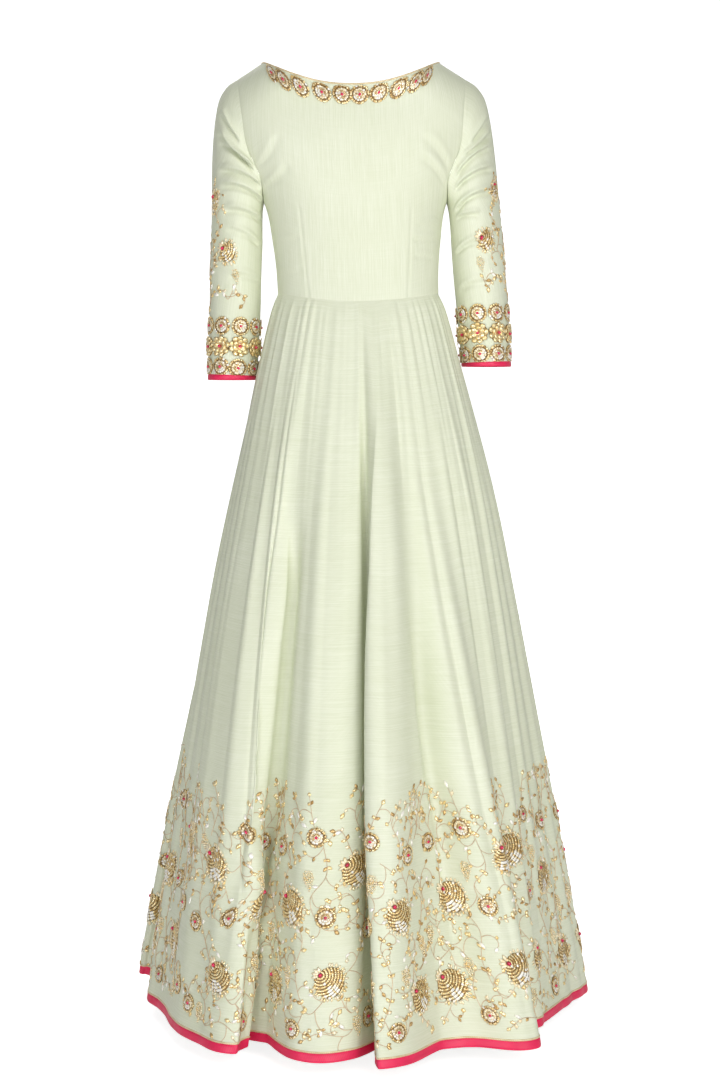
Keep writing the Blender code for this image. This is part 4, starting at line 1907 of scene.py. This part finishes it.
@dataclass
class Skirt:
    """Twelve gathered gores with a cord and a pink tape round the hem, and the flowered border."""

    torso: Torso
    hem_half: float = 0.305
    hem_back: float = 0.300
    hem_front: float = 0.292
    flare: float = 0.80
    gores: int = 12
    gore_columns: int = 80
    rows: int = 120
    crowding: float = 1.25
    hem_binding: float = 0.0115
    hem_piping: float = 0.0022
    cord_proud: float = 0.0002
    cord_overlap: float = 0.0003
    cloth: float = 0.0012
    tape: float = 0.0020
    flat: Place = (0.230, 1.010)
    flat_area: float = 0.150
    waist_dip: Place = (0.0001, 0.0016)
    seam_dip: Place = (0.0001, 0.0013)
    gore_width: float = 0.2
    gathers: int = 68
    flutes: int = 46
    seed: int = 12
    folds: tuple[Fold, ...] = (
        Fold(53, 20, 0.060, -16, 0.20, 1.0, -0.30),
        Fold(12, 15, 0.066, -1, 0.12, 1.1),
        Fold(-12, 10, 0.088, 6, 0.03, 0.9, 0.38),
        Fold(-30, 12, 0.066, -4, 0.25, 1.2, -0.15),
        Fold(-67, 22, -0.014, 0, 0.30, 1.2),
        Fold(-98, 20, 0.015, 0, 0.20, 1.2),
        Fold(-127, 15, 0.050, 6, 0.18, 1.1, 0.20),
        Fold(-155, 15, 0.062, -8, 0.08, 1.0, -0.25),
        Fold(-184, 14, 0.056, 4, 0.20, 1.1, 0.15),
        Fold(-213, 15, 0.066, 8, 0.12, 1.0, 0.25),
        Fold(-243, 15, 0.044, -6, 0.26, 1.2, -0.20),
        Fold(-278, 16, 0.014, 0, 0.24, 1.2),
    )
    tucks: tuple[Tuck, ...] = (
        Tuck(
            (0.10, 0.22, 0.36, 0.51, 0.66, 0.83, 1.0), (-9.4, -7.6, -7.0, -5.6, -5.0, -7.4, -8.8),
            1, 0.08, 0.34, 0.010, 0.005, 0.012, 2.9,
        ),
        Tuck(
            (0.36, 0.50, 0.61, 0.72, 0.85, 1.0), (31.5, 32.2, 32.6, 34.5, 40.8, 45.2),
            -1, 0.28, 0.42, 0.012, 0.008, 0.016, 2.8,
        ),
        Tuck(
            (0.40, 0.60, 0.70, 1.0), (-16.5, -18.0, -19.5, -22.0),
            -1, 0.38, 0.58, 0.004, 0.002, 0.012, 2.0,
        ),
        Tuck((0.20, 0.60, 1.0), (-116.0, -118.0, -121.0), 1, 0.22, 0.50),
        Tuck((0.20, 0.60, 1.0), (-164.0, -162.0, -160.0), -1, 0.12, 0.40, 0.009),
        Tuck((0.20, 0.60, 1.0), (158.0, 154.0, 151.0), 1, 0.16, 0.45, 0.009),
        Tuck((0.20, 0.60, 1.0), (109.0, 111.0, 113.0), -1, 0.30, 0.60),
        Tuck((0.30, 0.70, 1.0), (-176.0, -178.0, -179.0), -1, 0.35, 0.70, 0.003, 0.001, 0.006),
    )

    @property
    def length(self) -> float:
        """Return the drop from the waist to the hem."""
        return self.torso.hem_drop - self.torso.waist_drop

    def point(self, across: Array, share: Array) -> Array:
        """Return points of the skirt, from the waist to the hem.

        Args:
            across: Place round it, from 0 to 1.
            share: Place down it.

        Returns:
            The points.
        """
        turn = 2 * pi * across
        reach, swing = np.zeros_like(turn), np.zeros_like(turn)
        for fold in self.folds:
            offset = np.mod(turn - radians(fold.turn) + pi, 2 * pi) - pi
            near = np.clip(offset / radians(fold.half_width), -1.0, 1.0)
            near = near - fold.skew * (1.0 - near**2)
            grown = np.clip((share - fold.start) / (1.0 - fold.start), 0.0, 1.0) ** fold.growth
            shape = (1.0 - near**2) ** 1.5 * grown
            reach = reach + fold.height * shape
            swing = swing + radians(fold.lean) * shape
        waist_half = self.torso.half_width(-self.torso.waist_drop)
        around = waist_half * (1.0 - share) + self.hem_half * share
        for tuck in self.tucks:
            out, round_by = tuck.bend(turn, share)
            reach = reach + out
            swing = swing + round_by / around
        angle = turn + swing
        facing = np.where(np.cos(angle) >= 0.0, 1.0, -1.0)
        sine, cosine = np.sin(angle), np.cos(angle)
        top = self.torso.waist_height(sine)
        height = top + (-self.torso.hem_drop - top) * share
        waist = self.torso.point(self.torso.half_width(top) * sine, top, facing)
        spread = share**self.flare * share / (share + 0.003)
        depth = np.where(facing > 0, self.hem_back, self.hem_front)
        x = waist[..., 0] * (1.0 - spread) + self.hem_half * sine * spread + sine * reach
        y = waist[..., 1] * (1.0 - spread) + depth * cosine * spread + cosine * reach
        return self.torso.leaned(stacked(x, y, height))

    def all_flutes(self) -> list[Flute]:
        """Draw the gathers and the long soft folds, all uneven.

        Returns:
            The gathers, then the folds.
        """
        draw = np.random.default_rng(self.seed)
        found = []
        for number in range(self.gathers):
            turn = 360.0 * (number + draw.uniform(-0.32, 0.32)) / self.gathers
            size = draw.uniform(2.3, 3.6), draw.uniform(0.0006, 0.0021)
            rise = 0.0, draw.uniform(0.010, 0.030)
            fall = draw.uniform(0.05, 0.22), draw.uniform(0.12, 0.35)
            found.append(
                Flute(turn, *size, *rise, *fall, draw.uniform(-3.0, 3.0), draw.uniform(-0.4, 0.4))
            )
        for number in range(self.flutes):
            turn = 360.0 * (number + draw.uniform(-0.36, 0.36)) / self.flutes
            size = draw.uniform(3.2, 5.6), draw.uniform(0.0024, 0.0078)
            rise = draw.uniform(0.0, 0.10), draw.uniform(0.28, 0.55)
            fall = draw.uniform(0.55, 1.0), draw.uniform(0.25, 0.6)
            found.append(
                Flute(turn, *size, *rise, *fall, draw.uniform(-5.0, 5.0), draw.uniform(-0.55, 0.55))
            )
        return found

    def relief(self, across: Array, share: Array, points: Array, normals: Array) -> Array:
        """Return the gathers, the soft folds and the dips at the seams.

        Args:
            across: Place across.
            share: Place along.
            points: The plain points there.
            normals: The cloth's normals there.

        Returns:
            The height at each place.
        """
        turn = across * 360.0
        total = np.zeros_like(turn)
        for flute in self.all_flutes():
            total += flute.relief(turn, share)
        total -= 0.0016 * ease(share / 0.1)
        total += ripple(across, share, 81, 6, 0.0012) * ease(share / 0.3)
        total *= ease((1.0 - share) / 0.03) * 0.35 + 0.65
        total += edge_dip(share * self.length, *self.waist_dip)
        seam = np.abs(np.mod(across * self.gores + 0.5, 1.0) - 0.5) * self.gore_width
        return total + edge_dip(seam, *self.seam_dip)

    def band(self, first: float, last: float, rows: int, proud: float) -> Cloth:
        """Lay a narrow band of the hem.

        Args:
            first: Where it starts.
            last: Where it ends.
            rows: How many rows it has.
            proud: How far it stands off the cloth.

        Returns:
            The laid cloth.
        """

        def height(across: Array, share: Array, points: Array, normals: Array) -> Array:
            """Return the height of the band at each place."""
            part = (share - first) / (last - first)
            base = self.relief(across, share, points, normals)
            uneven = ripple(across * 9.0, part, 61, 4, 0.00018)
            return base + proud * crown(part) - TAPE_SUNK + uneven

        columns = self.gores * self.gore_columns
        return Cloth(self.point, columns, rows, first, last, closed=True, relief=height)

    def build(
        self, beads: Sequence[Material], silk: Material, pink: Material, cream: Material
    ) -> None:
        """Build the skirt's pieces.

        Args:
            beads: The beadwork's finishes.
            silk: The silk's finish.
            pink: The tape's finish.
            cream: The cord's finish.
        """
        tape_start = 1.0 - self.hem_binding / self.length
        gore_end = tape_start - (self.hem_piping + 0.0004) / self.length
        cloth = Cloth(
            self.point, self.gores * self.gore_columns, self.rows, 0.0, gore_end, self.crowding,
            closed=True, relief=self.relief,
        )
        extras = [self.hem_tape(tape_start, pink), self.hem_cord(gore_end, tape_start, cream)]
        extras += [work.lay(beads) for work in Border(cloth, self.gores).works()]
        for number in range(self.gores):
            span = slice(number * self.gore_columns, (number + 1) * self.gore_columns)
            name, node = f"skirt_silk_{number + 1:02d}", f"skirt_gore_{number + 1:02d}"
            piece = stand_in(name, cloth_mesh(cloth, span), silk, node, self.cloth)
        LOG.info("skirt: %.3f m2 of silk, %.3f m round the hem", cloth.area(), cloth.widths[-1])

    def hem_tape(self, start: float, pink: Material) -> Piece:
        """Build the pink tape round the hem."""
        data = cloth_mesh(self.band(start, 1.0, TAPE_ROWS, TAPE_PROUD))
        return stand_in("hem_tape", data, pink, "hem_binding", self.tape)

    def hem_cord(self, start: float, end: float, cream: Material) -> Piece:
        """Build the cord between the silk and the tape.

        Args:
            start: Where it starts, as a share of the drop.
            end: Where it ends.
            cream: Its finish.

        Returns:
            The piece.
        """
        row = self.band(start, end, 2, 0.0)
        out = row.normals[1, :-1]
        path = row.points[1, :-1] + out * self.cord_proud
        data = cord_mesh(path, out, self.hem_piping / 2 + self.cord_overlap, 8)
        return stand_in("hem_cord", data, cream, "hem_piping")


@dataclass
class Border:
    """The flowered border, worked flat in one repeat to each gore and varied from gore to gore."""

    cloth: Cloth
    gores: int
    seed: int = 44
    lowest: float = 0.012
    blooms: tuple[Place, ...] = ((-0.30, 0.232), (0.20, 0.178), (-0.14, 0.086), (0.36, 0.066))
    medallions: tuple[Place, ...] = (
        (0.36, 0.255), (-0.40, 0.146), (0.12, 0.030), (0.03, 0.278), (-0.06, 0.168), (-0.44, 0.040),
    )
    clusters: tuple[Place, ...] = (
        (0.05, 0.232), (-0.30, 0.044), (0.45, 0.142), (0.20, 0.105), (-0.46, 0.262),
    )
    stems: tuple[tuple[Place, ...], ...] = (
        ((-0.50, 0.030), (-0.40, 0.070), (-0.27, 0.050), (-0.17, 0.078)),
        ((-0.12, 0.075), (0.02, 0.052), (0.10, 0.096), (0.06, 0.140), (0.18, 0.172)),
        ((-0.12, 0.080), (-0.27, 0.112), (-0.36, 0.150), (-0.44, 0.196), (-0.32, 0.238)),
        ((-0.28, 0.240), (-0.16, 0.282), (-0.04, 0.268), (0.04, 0.292), (0.10, 0.326)),
        ((0.22, 0.170), (0.30, 0.206), (0.26, 0.240), (0.34, 0.264), (0.44, 0.300), (0.40, 0.330)),
        ((0.22, 0.160), (0.36, 0.140), (0.30, 0.096), (0.34, 0.050), (0.44, 0.024)),
        ((-0.04, 0.268), (-0.08, 0.226), (0.02, 0.196), (-0.06, 0.160), (-0.20, 0.158)),
        ((0.02, 0.052), (0.08, 0.026), (0.18, 0.030), (0.22, 0.056), (0.18, 0.084)),
        ((-0.44, 0.196), (-0.50, 0.236), (-0.44, 0.272), (-0.48, 0.310)),
        ((0.36, 0.140), (0.46, 0.160), (0.50, 0.206), (0.42, 0.226)),
        ((-0.30, 0.036), (-0.22, 0.020), (-0.08, 0.028), (0.02, 0.016)),
        ((0.18, 0.100), (0.28, 0.118), (0.40, 0.102), (0.48, 0.122)),
        ((-0.20, 0.158), (-0.30, 0.178), (-0.22, 0.202), (-0.12, 0.192)),
        ((0.10, 0.250), (0.20, 0.240), (0.24, 0.270), (0.18, 0.300), (0.26, 0.322)),
        ((-0.34, 0.262), (-0.26, 0.300), (-0.32, 0.330)),
        ((0.44, 0.270), (0.50, 0.286), (0.54, 0.322)),
    )

    def works(self) -> list[Beadwork]:
        """Return the border's beadwork, in four pieces.

        Returns:
            The blooms, the rounds and the two halves of the vines.
        """
        draw = np.random.default_rng(self.seed)
        blooms = [Bloom(seed=seed).mesh() for seed in (3, 4, 8)]
        rounds = [Medallion(seed=seed).mesh() for seed in (5, 9, 10)]
        bunches = [Cluster(seed=seed).mesh() for seed in (11, 13)]
        flower_work = Beadwork("border_blooms", self.cloth)
        round_work = Beadwork("border_medallions", self.cloth)
        halves = [Beadwork(f"border_vines_{side}", self.cloth) for side in ("left", "right")]
        garlands = [Garland(work, 50 + number) for number, work in enumerate(halves)]
        unit_width = float(self.cloth.widths[-1]) / self.gores
        for gore in range(self.gores):
            middle = (gore + 0.5 + draw.uniform(-0.06, 0.06)) * unit_width
            mirror = -1.0 if gore % 2 else 1.0
            lift = draw.uniform(-0.006, 0.006)
            garland = garlands[gore * 2 // self.gores]

            def at(place: Place, jitter: float) -> Place:
                """Return a place in this gore's repeat, moved a little by lot."""
                x = middle + place[0] * mirror * unit_width + draw.uniform(-jitter, jitter)
                y = place[1] + lift + draw.uniform(-jitter, jitter)
                return x * self.cloth.handed, max(self.lowest, y)

            for place in self.blooms:
                motif, spot = blooms[draw.integers(3)], at(place, 0.004)
                turn = radians(draw.uniform(-22.0, 22.0))
                flower_work.stamp(motif, *spot, turn, draw.uniform(0.94, 1.05))
            for place in self.medallions:
                motif, spot = rounds[draw.integers(3)], at(place, 0.005)
                turn = draw.uniform(-0.4, 0.4)
                round_work.stamp(motif, *spot, turn, draw.uniform(0.9, 1.05))
            for place in self.clusters:
                motif, spot = bunches[draw.integers(2)], at(place, 0.005)
                round_work.stamp(motif, *spot, radians(draw.uniform(-20.0, 20.0)))
            for stem in self.stems:
                garland.grow(Vine([at(knot, 0.003) for knot in stem]), 0.95)
        for garland in garlands:
            garland.finish()
        return [flower_work, round_work, *halves]


# ---------------------------------------------------------------- stage, light and camera


# The soft lights: name, place, width, power in watts and colour, and the point that they all face
LAMPS = (
    ("key", (-1.3, 3.8, 1.2), 1.7, 56.0, (1.0, 0.985, 0.96)),
    ("fill", (1.7, 3.2, -1.1), 2.0, 66.0, (0.99, 0.99, 1.0)),
    ("low", (-1.9, 3.0, -1.1), 1.6, 54.0, (1.0, 0.99, 0.98)),
    ("top", (0.0, 0.8, 3.2), 3.0, 12.0, (1.0, 1.0, 1.0)),
    ("front", (0.4, -3.4, 1.4), 3.0, 70.0, (1.0, 0.99, 0.97)),
)
LIT_POINT = (0.0, 0.0, -0.65)


@dataclass
class Studio:
    """A pale seamless floor and backdrop, big soft lights and the camera."""

    floor: float = -1.343
    half_width: float = 9.0
    near: float = 7.0
    bend_start: float = -3.4
    bend: float = 1.6
    wall: float = 4.0
    camera_place: Point = (-0.0127, 3.2, -0.471)
    pitch: float = 3.562
    view_angle: float = 26.951
    glow: float = 0.80
    world: Colour = (0.96, 0.97, 1.0)
    world_strength: float = 0.22

    def build(self) -> None:
        """Build the stage, the lights and the camera."""
        self.sweep()
        self.sky()
        for lamp in LAMPS:
            self.lamp(*lamp)
        self.view()

    def sweep(self) -> None:
        """Build the floor that curves up into a wall."""
        mesh = bmesh.new()
        sides = (-self.half_width, self.half_width)
        ends = [mesh.verts.new((x, self.near, self.floor)) for x in sides]
        edge = mesh.edges.new(ends)
        made = bmesh.ops.extrude_edge_only(mesh, edges=[edge])
        verts = [item for item in made["geom"] if isinstance(item, bmesh.types.BMVert)]
        bmesh.ops.translate(mesh, vec=(0.0, self.bend_start - self.near, 0.0), verts=verts)
        edges = [item for item in made["geom"] if isinstance(item, bmesh.types.BMEdge)]
        edges = [item for item in edges if all(vert in verts for vert in item.verts)]
        made = bmesh.ops.spin(
            mesh, geom=edges + verts, cent=(0.0, self.bend_start, self.floor + self.bend),
            axis=(-1.0, 0.0, 0.0), angle=pi / 2, steps=24, use_merge=False,
        )
        tops = [item for item in made["geom_last"] if isinstance(item, bmesh.types.BMEdge)]
        made = bmesh.ops.extrude_edge_only(mesh, edges=tops)
        verts = [item for item in made["geom"] if isinstance(item, bmesh.types.BMVert)]
        bmesh.ops.translate(mesh, vec=(0.0, 0.0, self.wall), verts=verts)
        bmesh.ops.recalc_face_normals(mesh, faces=mesh.faces[:])
        data = as_mesh(mesh, "studio_floor")
        data.shade_smooth()
        material = bpy.data.materials.new("pale_paper")
        material.use_nodes = True
        shader = material.node_tree.nodes["Principled BSDF"]
        shader.inputs["Base Color"].default_value = (0.93, 0.93, 0.92, 1.0)
        shader.inputs["Roughness"].default_value = 0.9
        shader.inputs["Emission Color"].default_value = (1.0, 1.0, 1.0, 1.0)
        tree = Tree(material.node_tree)
        tree.join(self.seen_glow(tree), shader.inputs["Emission Strength"])
        data.materials.append(material)
        linked("studio_floor", data)

    def seen_glow(self, tree: Tree) -> Socket:
        """Return the glow that the camera sees and that doesn't light the gown."""
        seen = tree.add("ShaderNodeLightPath").outputs["Is Camera Ray"]
        return tree.math("MULTIPLY", seen, self.glow)

    def sky(self) -> None:
        """Light the whole room softly."""
        world = bpy.data.worlds.new("studio")
        world.use_nodes = True
        back = world.node_tree.nodes["Background"]
        back.inputs["Color"].default_value = (*self.world, 1.0)
        tree = Tree(world.node_tree)
        strength = tree.math("ADD", self.seen_glow(tree), self.world_strength)
        tree.join(strength, back.inputs["Strength"])
        bpy.context.scene.world = world

    def lamp(
        self, name: str, place: Point, size: float, power: float, colour: Colour
    ) -> None:
        """Add a square soft light aimed at the gown.

        Args:
            name: Its name.
            place: Where it stands.
            size: Its width.
            power: Its power in watts.
            colour: Its colour.
        """
        light = bpy.data.lights.new(name, "AREA")
        light.shape = "SQUARE"
        light.size = size
        light.energy = power
        light.color = colour
        lamp = linked(name, light)
        lamp.location = place
        aim = Vector(LIT_POINT) - Vector(place)
        lamp.rotation_euler = aim.to_track_quat("-Z", "Y").to_euler()
        lamp.visible_camera = False

    def view(self) -> None:
        """Set the camera, behind the gown and a little above its middle."""
        data = bpy.data.cameras.new("camera")
        data.sensor_fit = "VERTICAL"
        data.angle = radians(self.view_angle)
        data.dof.use_dof = False
        data.clip_end = 50.0
        camera = linked("camera", data)
        camera.location = self.camera_place
        camera.rotation_euler = (pi / 2 - radians(self.pitch), 0.0, pi)
        bpy.context.scene.camera = camera
        bpy.context.scene.view_settings.view_transform = "Standard"


# The sleeves' creases, and the drop from the shoulders to each cuff
LEFT_CREASES = (
    Crease((0.140, -0.146), (0.186, -0.091), 0.0053, 0.0029, -0.06),
    Crease((0.156, -0.112), (0.182, -0.060), 0.0033, 0.0031, -0.05),
    Crease((0.138, -0.152), (0.188, -0.108), 0.0040, 0.0028, 0.05),
    Crease((0.130, -0.171), (0.191, -0.147), 0.0049, 0.0035, 0.10),
    Crease((0.127, -0.192), (0.190, -0.168), 0.0044, 0.0035, 0.12),
    Crease((0.128, -0.220), (0.187, -0.202), 0.0033, 0.0039, 0.12),
    Crease((0.132, -0.254), (0.180, -0.227), 0.0023, 0.0039, 0.10),
    Crease((0.137, -0.300), (0.182, -0.292), 0.0018, 0.0044, 0.10),
)
RIGHT_CREASES = (
    Crease((0.1515, -0.131), (0.193, -0.089), 0.0049, 0.0029, -0.06),
    Crease((0.162, -0.112), (0.190, -0.066), 0.0033, 0.0031, -0.04),
    Crease((0.141, -0.157), (0.196, -0.112), 0.0044, 0.0032, 0.08),
    Crease((0.139, -0.175), (0.198, -0.143), 0.0047, 0.0034, 0.10),
    Crease((0.139, -0.204), (0.196, -0.175), 0.0044, 0.0035, 0.12),
    Crease((0.141, -0.214), (0.175, -0.209), 0.0033, 0.0030, 0.06),
    Crease((0.138, -0.262), (0.186, -0.240), 0.0023, 0.0039, 0.10),
    Crease((0.142, -0.312), (0.186, -0.300), 0.0018, 0.0044, 0.10),
)


LEFT_CUFF_DROP, RIGHT_CUFF_DROP = 0.443, 0.424


def corners(box: Sequence[Sequence[float]]) -> list[list[float]]:
    """Return a box's two corners as plain lists of numbers."""
    return [[float(value) for value in corner] for corner in box]


def main() -> None:
    """Build the gown's looks in order and report each part."""
    logging.basicConfig(level=logging.INFO, format="%(message)s")
    torso = Torso()
    beads = [BEAD_FINISHES[bead].material() for bead in Bead]
    skirt_silk, bodice_silk = SKIRT_SILK.material(), BODICE_SILK.material()
    pink, cream = PINK_TAPE.material(), CREAM_CORD.material()
    Studio().build()
    bodice = Bodice(torso)
    bodice.build(beads, bodice_silk, cream)
    for side, drop, creases in (
        (1, LEFT_CUFF_DROP, LEFT_CREASES),
        (-1, RIGHT_CUFF_DROP, RIGHT_CREASES),
    ):
        Sleeve(torso, bodice, side, drop, creases).build(beads, bodice_silk, pink)
    Skirt(torso).build(beads, skirt_silk, pink, cream)


if __name__ == "__main__":
    main()
